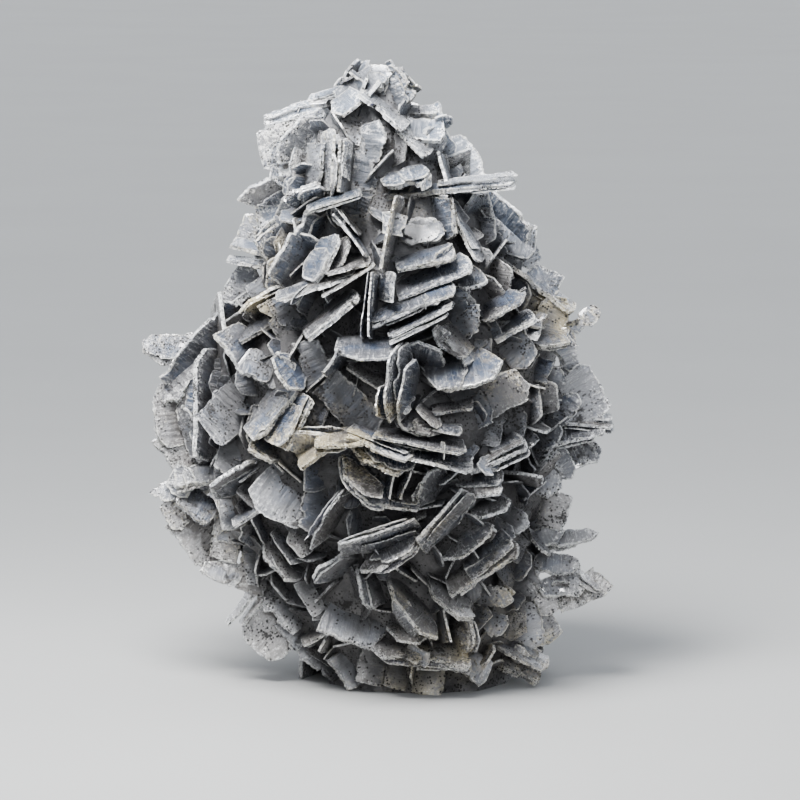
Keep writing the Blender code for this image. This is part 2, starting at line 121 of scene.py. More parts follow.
def root_section(height):
    """The root mass at a height: the middle of its section, half its breadth and half its depth."""
    last = len(ROOT_RINGS) - 2
    ring = min(last, max(0, sum(height >= level for level, _, _ in ROOT_RINGS) - 1))
    (low, left_low, right_low), (high, left_high, right_high) = ROOT_RINGS[ring : ring + 2]
    share = min(1.0, max(0.0, (height - low) / (high - low)))
    left = left_low + (left_high - left_low) * share
    right = right_low + (right_high - right_low) * share
    half = (right - left) / 2
    return (left + right) / 2, half, half * ROOT_DEPTH_SHARE


def root_shape():
    """The root mass: rings of lumpy ellipses from below the cut to the top, as points and faces."""
    rng = random.Random(ROOT_SEED)
    levels = [ROOT_FOOT, *(level for level, _, _ in ROOT_RINGS)]
    points = []
    for level in levels:
        middle, half, deep = root_section(level)
        for side in range(ROOT_SIDES):
            angle = math.tau * side / ROOT_SIDES
            lump = 1 - rng.uniform(0, ROOT_LUMP)
            spot = (middle + half * lump * math.sin(angle), -deep * lump * math.cos(angle), level)
            points.append(Vector(spot))
    faces = []
    for ring in range(len(levels) - 1):
        for side in range(ROOT_SIDES):
            low, low_next = ring * ROOT_SIDES + side, ring * ROOT_SIDES + (side + 1) % ROOT_SIDES
            faces.append((low, low_next, low_next + ROOT_SIDES, low + ROOT_SIDES))
    faces.append(tuple(range(ROOT_SIDES))[::-1])
    faces.append(tuple(range((len(levels) - 1) * ROOT_SIDES, len(levels) * ROOT_SIDES)))
    return points, faces


def cut_flat(shell):
    """Cuts a mesh in the making off at the base, and closes the cut."""
    cut = {"dist": 1e-6, "plane_co": (0, 0, 0), "plane_no": (0, 0, -1), "clear_outer": True}
    bmesh.ops.bisect_plane(shell, geom=[*shell.verts, *shell.edges, *shell.faces], **cut)
    bmesh.ops.holes_fill(shell, edges=[edge for edge in shell.edges if edge.is_boundary])


def points_of(mesh):
    """A mesh's points in millimetres."""
    points = np.empty(len(mesh.vertices) * 3)
    mesh.vertices.foreach_get("co", points)
    return points.reshape(-1, 3) / MM


def set_values(mesh, name, values):
    """Keeps a number or a vector for each point of a mesh, for the material."""
    values = np.asarray(values, dtype=np.float32)
    kind, field = ("FLOAT_VECTOR", "vector") if values.ndim == 2 else ("FLOAT", "value")
    if name in mesh.attributes:
        mesh.attributes.remove(mesh.attributes[name])
    mesh.attributes.new(name, kind, "POINT").data.foreach_set(field, values.ravel())


def waves(points, seed, count=7, pitch=9.0):
    """A smooth random field over points in millimetres, about -1 to 1."""
    rng = np.random.default_rng(seed)
    ways = rng.normal(size=(count, 3))
    ways /= np.linalg.norm(ways, axis=1, keepdims=True)
    turns = math.tau / (pitch * rng.uniform(0.6, 1.6, count))
    starts = rng.uniform(0, math.tau, count)
    return np.sin(points @ (ways * turns[:, None]).T + starts).sum(axis=1) / math.sqrt(count)


def root_mesh():
    """The root mass with a crumbling skin. Its skin is only ever moved inwards."""
    points, faces = root_shape()
    shell = bmesh.new()
    corners = [shell.verts.new(point * MM) for point in points]
    for face in faces:
        shell.faces.new([corners[i] for i in face])
    cut_flat(shell)
    bmesh.ops.triangulate(shell, faces=shell.faces)
    bmesh.ops.subdivide_edges(shell, edges=shell.edges, cuts=ROOT_CUTS, use_grid_fill=True)
    bmesh.ops.recalc_face_normals(shell, faces=shell.faces)
    mesh = bpy.data.meshes.new("root_mass")
    shell.to_mesh(mesh)
    shell.free()
    places = points_of(mesh)
    normals = np.array([corner.normal for corner in mesh.vertices])
    inwards = LUMPS * (1 + waves(places, LUMP_SEED)) / 2
    inwards += GRAINS * np.abs(waves(places, GRAIN_SEED, pitch=GRAIN_PITCH))
    inwards *= places[:, 2] > ON_THE_CUT
    normals[:, 2] *= places[:, 2] > NEAR_THE_CUT
    mesh.vertices.foreach_set("co", ((places - normals * inwards[:, None]) * MM).ravel())
    count = len(places)
    told = {
        "plate": places,
        "fan": places,
        "rim": np.full(count, ROOT_RIM),
        # A depth of nought gives the root mass the full painted shade of the hollows, nearly black.
        "depth": np.zeros(count),
        "tone": np.full(count, ROOT_TONE),
    }
    for name, values in told.items():
        set_values(mesh, name, values)
    return mesh


class Value:
    """A shader node's output that can be used in ordinary arithmetic."""

    def __init__(self, tree, socket):
        self.tree = tree
        self.socket = socket

    def maths(self, operation, *others):
        return self.tree.node("Math", {"operation": operation}, self, *others).out("Value")

    def __add__(self, other):
        return self.maths("ADD", other)

    def __sub__(self, other):
        return self.maths("SUBTRACT", other)

    def __rsub__(self, other):
        return self.tree.node("Math", {"operation": "SUBTRACT"}, other, self).out("Value")

    def __mul__(self, other):
        return self.maths("MULTIPLY", other)

    def __truediv__(self, other):
        return self.maths("DIVIDE", other)

    __radd__ = __add__
    __rmul__ = __mul__

    def ramp(self, low, high):
        """0 at low and below, 1 at high and above, smooth between."""
        made = self.tree.node("MapRange", {"interpolation_type": "SMOOTHSTEP"}, self, low, high)
        return made.out("Result")


class Made:
    """A shader node that was just made."""

    def __init__(self, tree, node):
        self.tree = tree
        self.node = node

    def out(self, name):
        return Value(self.tree, next(s for s in self.node.outputs if s.name == name and s.enabled))


class Shading:
    """The node tree of a material or of the room, filled one line at a time."""

    def __init__(self, name, kinds=bpy.data.materials, shader="Principled BSDF"):
        self.material = kinds.new(name)
        self.material.use_nodes = True
        self.nodes = self.material.node_tree.nodes
        self.shader = self.nodes[shader]

    def connect(self, value, socket):
        if isinstance(value, Value):
            self.material.node_tree.links.new(value.socket, socket)
        else:
            socket.default_value = value

    def node(self, kind, settings, *inputs, **named):
        node = self.nodes.new("ShaderNode" + kind)
        for setting, value in settings.items():
            setattr(node, setting, value)
        sockets = [s for s in node.inputs if s.enabled]
        for value, socket in zip(inputs, sockets):
            self.connect(value, socket)
        for name, value in named.items():
            self.connect(value, next(s for s in sockets if s.name == name))
        return Made(self, node)

    def attribute(self, name, output="Fac"):
        return self.node("Attribute", {"attribute_name": name}).out(output)

    def noise(self, vector, scale, detail=3.0, rough=0.55):
        made = self.node("TexNoise", {}, Vector=vector, Scale=scale, Detail=detail, Roughness=rough)
        return made.out("Fac")

    def cells(self, vector, scale):
        return self.node("TexVoronoi", {}, Vector=vector, Scale=scale, Randomness=1.0)

    def mix(self, share, first, second):
        """The first colour at 0, the second at 1."""
        settings = {"data_type": "RGBA", "clamp_factor": True}
        return self.node("Mix", settings, share, first, second).out("Result")

    def vectors(self, operation, first, second, output="Vector"):
        return self.node("VectorMath", {"operation": operation}, first, second).out(output)

    def stretch(self, vector, scale):
        return self.vectors("MULTIPLY", vector, scale)

    def bump(self, height, distance, strength=1.0, **under):
        made = self.node("Bump", {}, Strength=strength, Distance=distance, Height=height, **under)
        return made.out("Normal")

    def set(self, **constants):
        for name, value in constants.items():
            self.shader.inputs[name.replace("_", " ")].default_value = value


# The barite's colours. Where there are two of a kind, the second is that of the icy top: whiter
# crystal, and also painted lighter as painted light, its shade lifted. Next to some stands how
# strongly they show at most.
CLEAR_GREY = (0.086, 0.089, 0.099, 1)
CLEAR_BLUE = (0.056, 0.074, 0.112, 1)
CLEAR_TOP = (0.112, 0.136, 0.176, 1)
MILKY = ((0.150, 0.152, 0.162, 1), (0.232, 0.255, 0.292, 1))
FROSTED = ((0.480, 0.477, 0.470, 1), (0.975, 0.965, 0.950, 1))
FROSTED_SHARE = 0.92
WARM = ((0.260, 0.230, 0.195, 1), (0.480, 0.440, 0.385, 1))
WARM_SHARE = 0.34
GLASSY = ((0.230, 0.240, 0.260, 1), (0.560, 0.590, 0.640, 1))
FLECK_WHITE = (0.940, 0.942, 0.935, 1)
FLECK_CREAM = (0.900, 0.855, 0.750, 1)
RIM_SHARE = 0.92
DULL_FOOT = (0.400, 0.380, 0.350, 1)
FOOT_SHARE = 0.34
RUST = (0.430, 0.340, 0.180, 1)
RUST_SHARE = 0.62
OCHRE = (0.600, 0.520, 0.330, 1)
OCHRE_SHARE = 0.50
# Nearly black: partly dirt and partly painted shade deep in the cluster.
DIRT_AND_SHADE = (0.022, 0.021, 0.023, 1)
# The white of the painted glints.
PAINTED_GLINT = (0.960, 0.960, 0.950, 1)
ORE = (0.016, 0.014, 0.013, 1)
ORE_SHARE = 0.96
CRUST_SHARE = 0.93
# The patterns on a blade: how fine each is, how many octaves of detail it has and how rough they
# are. A stretch squeezes one along the blade's length, width and thickness.
CLOUDS = (0.14, 3.0)
FROST = (0.34, 4.0, 0.60)
ICE = (0.95, 5.0, 0.72)
GRAIN = (2.4, 3.0, 0.60)
STREAKS, STREAK_STRETCH = (0.9, 5.0, 0.66), (1.1, 0.12, 1.1)
FURROWS = (1.0, 4.0, 0.66)
LEDGES, LEDGE_STRETCH = (1.0, 2.0, 0.5), (0.05, 0.05, 3.0)
SWELL, SWELL_STRETCH = (1.0, 2.0, 0.5), (0.42, 0.08, 0.42)
BROAD = (24.0, 3.0)
SWARM = (0.12, 2.0)
GLINT_CELLS, GLINT_STRETCH = 1.9, (1.0, 0.5, 1.0)
SPECKS = 1.25
FLATS = 0.42
# The heights, in metres, between which the icy top and the dull foot fade in. The top's lighter
# colours are partly painted light, where its shade is painted lighter.
TOP_FADE = (0.105, 0.175)
FOOT_FADE = (0.010, 0.085)
REFRACTION = 1.64
# How deep the finest relief of a face and of a rim is, in metres.
FACE_RELIEF = 0.00045
RIM_RELIEF = 0.0008


def barite():
    """The crystals' material: a heavy, brittle, half-clear mineral.

    It is blue-grey inside its broad faces, frosted white where they are etched, creamy and rough
    along the broken rims, sprinkled with black-brown ore and stained with rust in the hollows.
    Light
    and shade are painted in too: shade deep in the cluster, a lighter top, highlights along the
    rims and small glints. It reads each blade's own plate coordinates, in millimetres.
    """
    look = Shading("barite")
    plate = look.attribute("plate", "Vector")
    fan = look.attribute("fan", "Vector")
    place = look.node("TexCoord", {}).out("Object")
    tone = look.attribute("tone")
    rim = look.attribute("rim")
    depth = look.attribute("depth")
    height = look.node("SeparateXYZ", {}, place).out("Z")

    clouds = look.noise(plate, *CLOUDS)
    frost = look.noise(plate, *FROST)
    ice = look.noise(plate, *ICE)
    grain = look.noise(plate, *GRAIN)
    streaks = look.noise(look.stretch(plate, STREAK_STRETCH), *STREAKS)
    furrows = look.noise(fan, *FURROWS)
    layers = look.noise(look.stretch(plate, LEDGE_STRETCH), *LEDGES)
    broad = look.noise(place, *BROAD)
    swarm = look.noise(plate, *SWARM)
    other = (tone * 7.3).maths("FRACT")
    # The top is painted lighter: partly its whiter crystals, partly painted light lifting its
    # shade.
    high = height.ramp(*TOP_FADE)
    low = 1 - height.ramp(*FOOT_FADE)

    # A blade is clear and dark where it is deep in the cluster, darker there partly as painted
    # shade, and grows milky towards its rim.
    # The milk lies in clouds and in streaks from the root to the rim.
    cloudy = frost.ramp(0.36, 0.64)
    streaky = streaks.ramp(0.36, 0.64)
    icy = ice.ramp(0.38, 0.62)
    # Lighter away from the root mass: partly the milk, partly painted light out of the cluster's
    # shade.
    out = (depth + (clouds - 0.5) * 9.0).ramp(2.0, 24.0)
    far = 1 - (rim + (frost - 0.5) * 5.0).ramp(-1.0, 8.5)
    milk = out * 0.42 + far * 0.52 + streaky * 0.22 + cloudy * 0.48
    milk = milk + (icy - 0.5) * (other * 0.24 + 0.20) + (tone - 0.5) * 0.40
    milk = milk + (furrows.ramp(0.36, 0.64) - 0.42) * (0.08 + far * 0.20) - 0.12
    blueness = (clouds * 0.6 + broad * 0.6 - other * 0.22).ramp(0.42, 0.62)
    clear = look.mix(high, look.mix(blueness, CLEAR_GREY, CLEAR_BLUE), CLEAR_TOP)
    body = look.mix(milk.ramp(0.30, 1.10), clear, look.mix(high, *MILKY))
    scratches = streaks.ramp(0.56, 0.66) * (0.10 + far * 0.40)
    white = (milk + icy * (other * 0.18 + 0.10) + high * 0.08 - 0.10).ramp(0.90, 1.30)
    white = white.maths("MAXIMUM", scratches)
    body = look.mix(white * FROSTED_SHARE, body, look.mix(high, *FROSTED))
    warmer = other.ramp(0.55, 0.95)
    body = look.mix(warmer * WARM_SHARE, body, look.mix(high, *WARM))

    # The broken rims: white shattered flecks in clear blue-grey, creamy in places. The rim band is
    # also a painted highlight, brighter than the faces as if light caught it.
    shatter = (ice + (layers - 0.5) * 0.40 + (grain - 0.5) * 0.2).ramp(0.40, 0.52)
    flecks = look.mix(broad.ramp(0.4, 0.6), FLECK_WHITE, FLECK_CREAM)
    broken = look.mix(shatter, look.mix(high, *GLASSY), flecks)
    # The rim band: partly frosted, broken crystal, partly a painted highlight along the rim.
    edge = 1 - (rim + (grain - 0.5) * 0.8 + (frost - 0.5) * 2.4).ramp(0.10, 0.90)
    skin = look.mix(edge * RIM_SHARE, body, broken)

    # The foot is duller and warmer. Rust and yellow lie in places. Towards the roots, and over the
    # root mass, the colour darkens nearly to black: partly dirt, partly painted shade in the
    # hollows.
    skin = look.mix(low * FOOT_SHARE, skin, DULL_FOOT)
    rust = (broad + (frost - 0.5) * 0.6).ramp(0.57, 0.78) * (0.30 + far * 0.6)
    skin = look.mix(rust * RUST_SHARE, skin, RUST)
    ochre = (broad + (ice - 0.5) * 0.5 + (other - 0.5) * 0.10).ramp(0.62, 0.66) * (0.15 + far)
    skin = look.mix(ochre * OCHRE_SHARE, skin, OCHRE)
    # Dirt and painted shade, darkest on the root mass and by the blades' roots, a little less at
    # the top.
    dirt_and_shade = (1 - (depth + (clouds - 0.5) * 6.0).ramp(-1.5, 6.5)) * (1 - high * 0.08)
    skin = look.mix(dirt_and_shade * (dirt_and_shade * 0.42 + 0.52), skin, DIRT_AND_SHADE)

    # Painted glints: small white highlights painted on the shattered rims and frosted patches.
    glint_cells = look.cells(look.stretch(plate, GLINT_STRETCH), GLINT_CELLS).out("Distance")
    painted_glint = (1 - (glint_cells + (grain - 0.5) * 0.4).ramp(0.30, 0.42)) * icy.ramp(0.45, 0.75)
    painted_glint = painted_glint * (edge * 0.5 + white * 0.4 + far * 0.25) * (1 - dirt_and_shade)
    skin = look.mix(painted_glint, skin, PAINTED_GLINT)

    # Fine specks of ore, in swarms that grow together to a crust in places. Each speck's cell has
    # a size of its own, and crowd says how many of the cells hold one.
    cells = look.cells(plate, SPECKS)
    own = look.node("SeparateColor", {}, cells.out("Color")).out("Red")
    size = 0.20 + own * 0.34
    crowd = swarm.ramp(0.43, 0.58) * 0.70 + (frost - 0.5) * 1.7
    crowd = crowd + other.ramp(0.3, 1.0) * 0.28 - 0.34 - high * 0.10
    ragged = cells.out("Distance") + (grain - 0.5) * 0.5
    speck = (1 - (ragged / size).ramp(0.7, 1.0)) * (own + crowd).ramp(0.82, 0.86)
    crust = (swarm + (ice - 0.5) * 0.75 + (other - 0.5) * 0.10).ramp(0.70, 0.73)
    ore = speck.maths("MAXIMUM", crust * CRUST_SHARE)
    skin = look.mix(ore * ORE_SHARE, skin, ORE)

    # Cleavage: the faces are a mosaic of small flats, each tilted a little on its own. They are
    # furrowed along the grain, and the rims show the ledges of the layers.
    mosaic = look.cells(plate, FLATS)
    tilt = look.vectors("SUBTRACT", mosaic.out("Color"), (0.5, 0.5, 0.5))
    offset = look.vectors("SUBTRACT", plate, mosaic.out("Position"))
    flats = look.vectors("DOT_PRODUCT", tilt, offset, "Value")
    swell = look.noise(look.stretch(plate, SWELL_STRETCH), *SWELL)
    relief = swell * 2.6 + streaks * 0.8 + ice * (other * 0.8 + 0.1) + grain * 0.10
    relief = relief + ore * 0.25 + flats * 0.45
    fine = look.bump(relief, FACE_RELIEF, 0.9)
    ledges = look.bump((layers + ice * 1.3) * (edge + 0.12), RIM_RELIEF, 0.9, Normal=fine)

    rough = 0.22 - high * 0.06 + edge * 0.04 + white * 0.16 + dirt_and_shade * 0.4 + ore * 0.4
    rough = rough + (streaks - 0.5) * 0.5
    look.connect(skin, look.shader.inputs["Base Color"])
    look.connect(rough, look.shader.inputs["Roughness"])
    look.connect(ledges, look.shader.inputs["Normal"])
    polish = (1 - dirt_and_shade) * (1 - ore) * (0.85 + high * 0.15)
    look.connect(polish, look.shader.inputs["Coat Weight"])
    look.set(IOR=REFRACTION, Coat_Roughness=0.10, Coat_IOR=REFRACTION, Transmission_Weight=0.05)
    look.set(Subsurface_Weight=0.50, Subsurface_Radius=(1.0, 1.0, 1.1), Subsurface_Scale=0.0012)
    return look.material


BARITE = barite()


def piece_of(mesh, name, sharp=BLADE_SHARP):
    """Puts a mesh in the scene as one piece of the cluster, trimmed to the room of the part."""
    lowest = np.array(cad_low) + (MM / 5, MM / 5, 0)
    inside = np.clip(points_of(mesh) * MM, lowest, np.array(cad_high) - MM / 5)
    mesh.vertices.foreach_set("co", inside.ravel())
    mesh.shade_smooth()
    mesh.set_sharp_from_angle(angle=math.radians(sharp))
    mesh.materials.clear()
    mesh.materials.append(BARITE)
    piece = bpy.data.objects.new(name, mesh)
    bpy.context.scene.collection.objects.link(piece)
    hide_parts(NODE)
    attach(piece, "root")


piece_of(root_mesh(), "root_mass", ROOT_SHARP)

# The large blades of the side that the photo shows. Each is a flat, heavy crystal, grown as a
# stack of thin plates, brittle and broken along its rim. Each grows out of the root mass.
EYE_DISTANCE = 1200.0
EYE_RISE = 8.0
AIM = Vector((4.5, 0.0, 84.6))
FRAME_MIDDLE = (4.5, 89.1)
OUTSIDE = 200.0
# Outlines of the blades: corners along the length and across it, each from -1 to 1.
OUTLINES = {
    "bar": ((-1, -0.7), (0.85, -1), (1, -0.3), (0.9, 1), (-0.9, 0.9)),
    "box": ((-1, -0.8), (0.8, -1), (1, -0.4), (0.85, 0.9), (-0.8, 1)),
    "hex": ((-1, 0.15), (-0.7, -0.95), (0.6, -1), (1, -0.25), (0.75, 0.95), (-0.55, 1)),
    "oval": ((-1, -0.45), (-0.5, -1), (0.6, -0.95), (1, -0.35), (0.8, 0.7), (0.05, 1),
             (-0.85, 0.75)),
    "fan": ((-1, -0.5), (0.5, -1), (0.9, -0.55), (1, 0.3), (0.75, 0.95), (-0.9, 0.6)),
    "leaf": ((-1, 0.2), (-0.45, -0.85), (0.6, -0.95), (1, -0.15), (0.6, 0.85), (-0.5, 0.9)),
}


class Seen(NamedTuple):
    """A blade as the front view shows it.

    Its middle is seen at (across, up). Its length slopes by lean in the view and tips towards the
    eye by dip. Turn swings it about its length: 0 is face-on, 90 edge-on with the face up, -90
    edge-on with the face down. It stands proud of the root mass by that much.
    """

    across: float
    up: float
    lean: float
    length: float
    width: float
    turn: float
    proud: float
    thick: float
    outline: str
    dip: float = 0.0


# The blades of the front, region by region. Some lists begin with fillers, which close gaps of
# the outline from behind. Two of those stand in three lists.
CROWN = (
    (-7.5, 182.5, 37, 18, 12, 40, 4, 3.0, "box"),
    (2.5, 183, -55, 15, 12, -25, 4, 4.0, "box"),
    (-2, 185, 70, 11, 9, 20, 5, 3.0, "hex"),
    (0, 176, -38, 19, 10, 65, 8, 2.4, "bar"),
    (-11.5, 178, 40, 11, 8, 35, 7, 2.2, "hex"),
    (-15.5, 179.5, 12, 16, 9, 60, 5, 2.6, "box"),
    (10, 175.5, 0, 13, 7, 55, 4, 3.2, "bar"),
    (11, 170, -3, 15, 10, 35, 6, 2.6, "box"),
    (14.5, 165, 82, 13, 8, -25, 7, 2.4, "fan"),
    (-29, 166.5, 15, 20, 19, -14, 3, 2.6, "fan"),
    (-27.5, 174.5, 17, 20, 10, 60, 3, 3.0, "bar"),
    (-26, 167, 54, 20, 13, -40, 8, 2.6, "leaf"),
    (-33, 152, 20, 25, 13, -40, 8, 3.4, "leaf"),
    (-24, 150.5, 20, 15, 9, -45, 9, 2.6, "leaf"),
    (-21, 160, 88, 15, 7, 40, 8, 2.0, "bar"),
    (-17, 161, 89, 20, 8, 55, 9, 2.0, "bar"),
    (-15.3, 156.5, 87, 14, 9, 84, 12, 1.5, "leaf"),
    (-12, 159, 88, 18, 9, -60, 11, 2.2, "bar"),
    (-9.5, 167, 5, 16, 7, 20, 10, 2.0, "box"),
    (-5, 160.5, 80, 27, 10, 15, 11, 2.2, "hex"),
    (-15.5, 149.3, 19, 18, 10, 72, 14, 1.8, "bar"),
    (-16.5, 147.2, 17, 17, 10, 78, 13, 1.8, "bar"),
    (6.5, 155.5, 9, 16, 9, 50, 9, 2.6, "hex"),
    (19, 153, 7, 41, 12, 72, 13, 2.8, "bar", -6),
    (23.5, 161, -58, 18, 12, 8, 2, 2.2, "oval"),
    (19.5, 160.5, -72, 14, 8, 15, 6, 2.0, "leaf"),
    (18, 157, -72, 14, 8, 75, 10, 1.8, "bar"),
    (9, 167, -42, 13, 8, 50, 7, 2.0, "bar"),
    (25.5, 147.5, -8, 15, 13, -30, 3, 2.4, "box"),
)
UPPER_LEFT = (
    (-38, 138, 40, 12, 8, 20, 1, 2.0, "leaf"),
    (-58.5, 90, 80, 16, 9, 20, 2, 2.2, "leaf"),
    (-49, 37.5, -15, 14, 9, 20, 2, 2.4, "fan"),
    (-33.5, 142, -66, 15, 10, -15, 4, 2.4, "box"),
    (-41, 140, 62, 11, 8, 20, 0, 2.6, "fan"),
    (-38, 134.3, -12, 18, 11, 66, 7, 2.8, "bar"),
    (-39, 130.4, -7, 18, 11, 72, 8, 2.0, "bar"),
    (-43.5, 122.5, 68, 17, 11, 15, 3, 2.6, "oval"),
    (-26, 134, 58, 25, 11, -28, 9, 2.8, "bar"),
    (-18.5, 132, 66, 18, 8, 30, 12, 2.8, "oval"),
    (-13.5, 132.5, 68, 13, 7, 40, 11, 2.0, "leaf"),
    (-10, 138.7, -52, 17, 10, 82, 14, 2.0, "bar"),
    (-11, 129.6, 16, 14, 10, 62, 13, 1.8, "bar"),
    (-21, 123.7, 19, 26, 11, 66, 12, 1.8, "bar"),
    (-11, 125.2, 32, 19, 11, 80, 14, 2.0, "bar"),
    (-16, 114.7, 40, 21, 12, 68, 14, 3.4, "bar"),
    (-29.5, 112, -58, 19, 13, -15, 8, 2.6, "box"),
    (-36, 119, 27, 18, 9, -55, 9, 2.0, "leaf"),
    (-54, 105, 49, 35, 15, -42, 8, 2.8, "bar", 8),
    (-62.5, 104, 6, 24, 13, 15, 0, 3.2, "leaf"),
    (-43, 104.5, -50, 18, 12, 30, 9, 3.0, "box"),
    (-36, 98.5, -25, 17, 11, 20, 7, 2.4, "box"),
    (-29, 98, -50, 16, 9, 32, 10, 2.6, "leaf"),
    (-21, 98.5, -66, 20, 10, -12, 8, 2.4, "box"),
    (-11, 87.5, -42, 25, 13, -15, 8, 2.8, "box"),
    (-39, 110, 30, 12, 8, 60, 8, 2.0, "bar"),
)
UPPER_RIGHT = (
    (2, 138.5, 78, 25, 12, -76, 15, 2.4, "bar"),
    (-4, 117.5, 87, 21, 12, -80, 14, 1.8, "bar"),
    (0.7, 123, 86, 10, 5, 30, 15, 3.0, "box"),
    (11, 139.6, 4, 15, 10, 22, 10, 2.8, "oval"),
    (12, 131.6, 15, 19, 10, 56, 13, 2.2, "bar"),
    (14.5, 126, 23, 25, 11, 48, 11, 2.2, "bar"),
    (7.5, 118.3, 24, 29, 10, 52, 13, 2.4, "bar"),
    (10.5, 113.6, 28, 22, 12, 72, 16, 2.0, "bar"),
    (10, 110.8, 27, 20, 12, 76, 17, 2.0, "bar"),
    (18, 144, -80, 15, 10, -52, 9, 2.4, "box"),
    (24.7, 138, -58, 18, 11, 68, 11, 1.8, "bar"),
    (36.5, 138.3, -15, 20, 13, 12, 2, 2.6, "box"),
    (42, 133.5, -62, 12, 9, 12, 0, 2.4, "hex"),
    (31, 140.5, 24, 10, 6, 40, 6, 1.8, "leaf"),
    (35.5, 130.5, -40, 14, 10, 20, 7, 2.8, "hex"),
    (28, 130.5, 60, 10, 8, 20, 9, 2.2, "box"),
    (48, 125.3, -27, 12, 8, 25, 1, 2.8, "bar"),
    (49.3, 121.3, -37, 20, 11, 66, 5, 2.8, "bar"),
    (59.5, 113.3, 42, 13, 8, 15, -1, 3.2, "oval"),
    (48.5, 112.5, 62, 19, 13, -15, 5, 2.8, "oval"),
    (34, 117, 31, 20, 9, 46, 10, 2.2, "leaf"),
    (38.5, 111.5, 31, 15, 8, 55, 10, 2.4, "bar"),
    (23.5, 115.5, -82, 17, 12, -12, 7, 2.6, "oval"),
    (26, 124.7, 12, 10, 8, 50, 9, 2.6, "hex"),
    (38, 105.5, -50, 18, 12, 10, 8, 2.6, "hex"),
    (28, 104.3, 0, 10, 8, 10, 9, 2.2, "box"),
    (19.5, 105.5, -31, 14, 9, 60, 13, 1.6, "leaf"),
    (22, 106, -46, 15, 9, 50, 11, 1.6, "bar"),
    (12, 102.5, -17, 14, 9, -32, 11, 2.4, "leaf"),
    (-5.5, 104.8, 0, 22, 14, 58, 15, 2.4, "oval"),
    (-14.7, 99.5, 54, 10, 11, -70, 14, 2.0, "bar"),
    (3, 94.5, 84, 25, 10, -48, 15, 2.4, "leaf"),
    (7, 92, 79, 20, 10, -60, 15, 2.2, "leaf"),
    (-0.5, 88.7, 85, 11, 8, -50, 12, 2.0, "oval"),
    (23, 97.8, 16, 26, 14, 36, 14, 3.0, "leaf"),
    (29.5, 88.5, 30, 30, 14, -12, 11, 2.8, "box"),
    (49, 91, 76, 19, 10, -12, 6, 2.6, "oval"),
    (54.5, 104.5, -70, 15, 9, -10, 2, 2.6, "oval"),
    (58.5, 91, -60, 22, 15, 10, -1, 2.8, "hex"),
    (43, 120, -50, 14, 9, 20, 2, 2.2, "hex"),
    (54, 86, 60, 14, 9, 20, 2, 2.2, "leaf"),
)
MIDDLE = (
    (48.5, 48.5, 20, 12, 8, 20, 2, 2.0, "leaf"),
    (57, 29.5, 25, 12, 7, 20, 2, 2.2, "box"),
    (10.5, 76.7, -10, 28, 13, 72, 18, 2.4, "bar"),
    (14, 72, -12, 26, 13, 70, 18, 3.0, "bar"),
    (-21, 73.8, 40, 14, 12, 62, 16, 2.8, "bar"),
    (-13.5, 77.6, 7, 16, 13, 62, 17, 2.8, "bar"),
    (-1.5, 76, -18, 21, 12, 62, 16, 2.6, "bar"),
    (-1, 71.8, -17, 21, 10, 38, 15, 2.6, "leaf"),
    (-6.5, 64.8, -42, 22, 11, 35, 12, 2.8, "leaf"),
    (3.5, 58.7, -5, 15, 11, 60, 10, 2.2, "bar"),
    (1.7, 65.5, 78, 12, 9, 75, 11, 1.6, "bar"),
    (6, 65.5, 70, 13, 9, 75, 12, 1.6, "bar"),
    (14, 63, 62, 15, 9, -38, 10, 2.2, "leaf"),
    (17, 80.7, -8, 13, 11, 74, 14, 1.6, "bar"),
    (13, 84, -42, 10, 10, 74, 13, 1.6, "bar"),
    (10, 82.5, -18, 15, 9, 35, 10, 2.4, "hex"),
    (33.5, 72.7, 25, 20, 11, 62, 14, 2.8, "bar"),
    (29, 66.3, 18, 14, 9, 15, 11, 2.2, "box"),
    (28, 63, 8, 15, 8, 25, 9, 2.2, "box"),
    (41, 65.7, -8, 14, 9, -66, 10, 2.0, "bar"),
    (45.5, 66.7, -18, 18, 13, 12, 5, 2.4, "hex"),
    (30.5, 77, 86, 12, 10, -8, 8, 2.4, "box"),
    (38.5, 82, 80, 12, 9, -20, 6, 2.4, "oval"),
    (47, 77, 40, 16, 10, 22, 7, 2.4, "fan"),
    (58, 79.2, 15, 17, 12, 62, 5, 3.0, "bar"),
    (61, 82.6, -4, 16, 12, 74, 2, 2.2, "bar"),
    (59, 73, 20, 13, 10, 20, -1, 2.8, "hex"),
    (53.5, 70.3, -55, 12, 8, 22, 2, 2.2, "leaf"),
    (31, 57, 15, 15, 9, 50, 11, 2.4, "leaf"),
    (18.3, 52.7, 47, 23, 12, -58, 15, 3.2, "bar"),
    (50.5, 56, 80, 13, 11, 10, 1, 2.4, "box"),
    (55, 47.6, 13, 20, 9, 55, 2, 2.8, "leaf"),
    (46, 46.3, -48, 12, 10, 74, 8, 1.6, "leaf"),
)
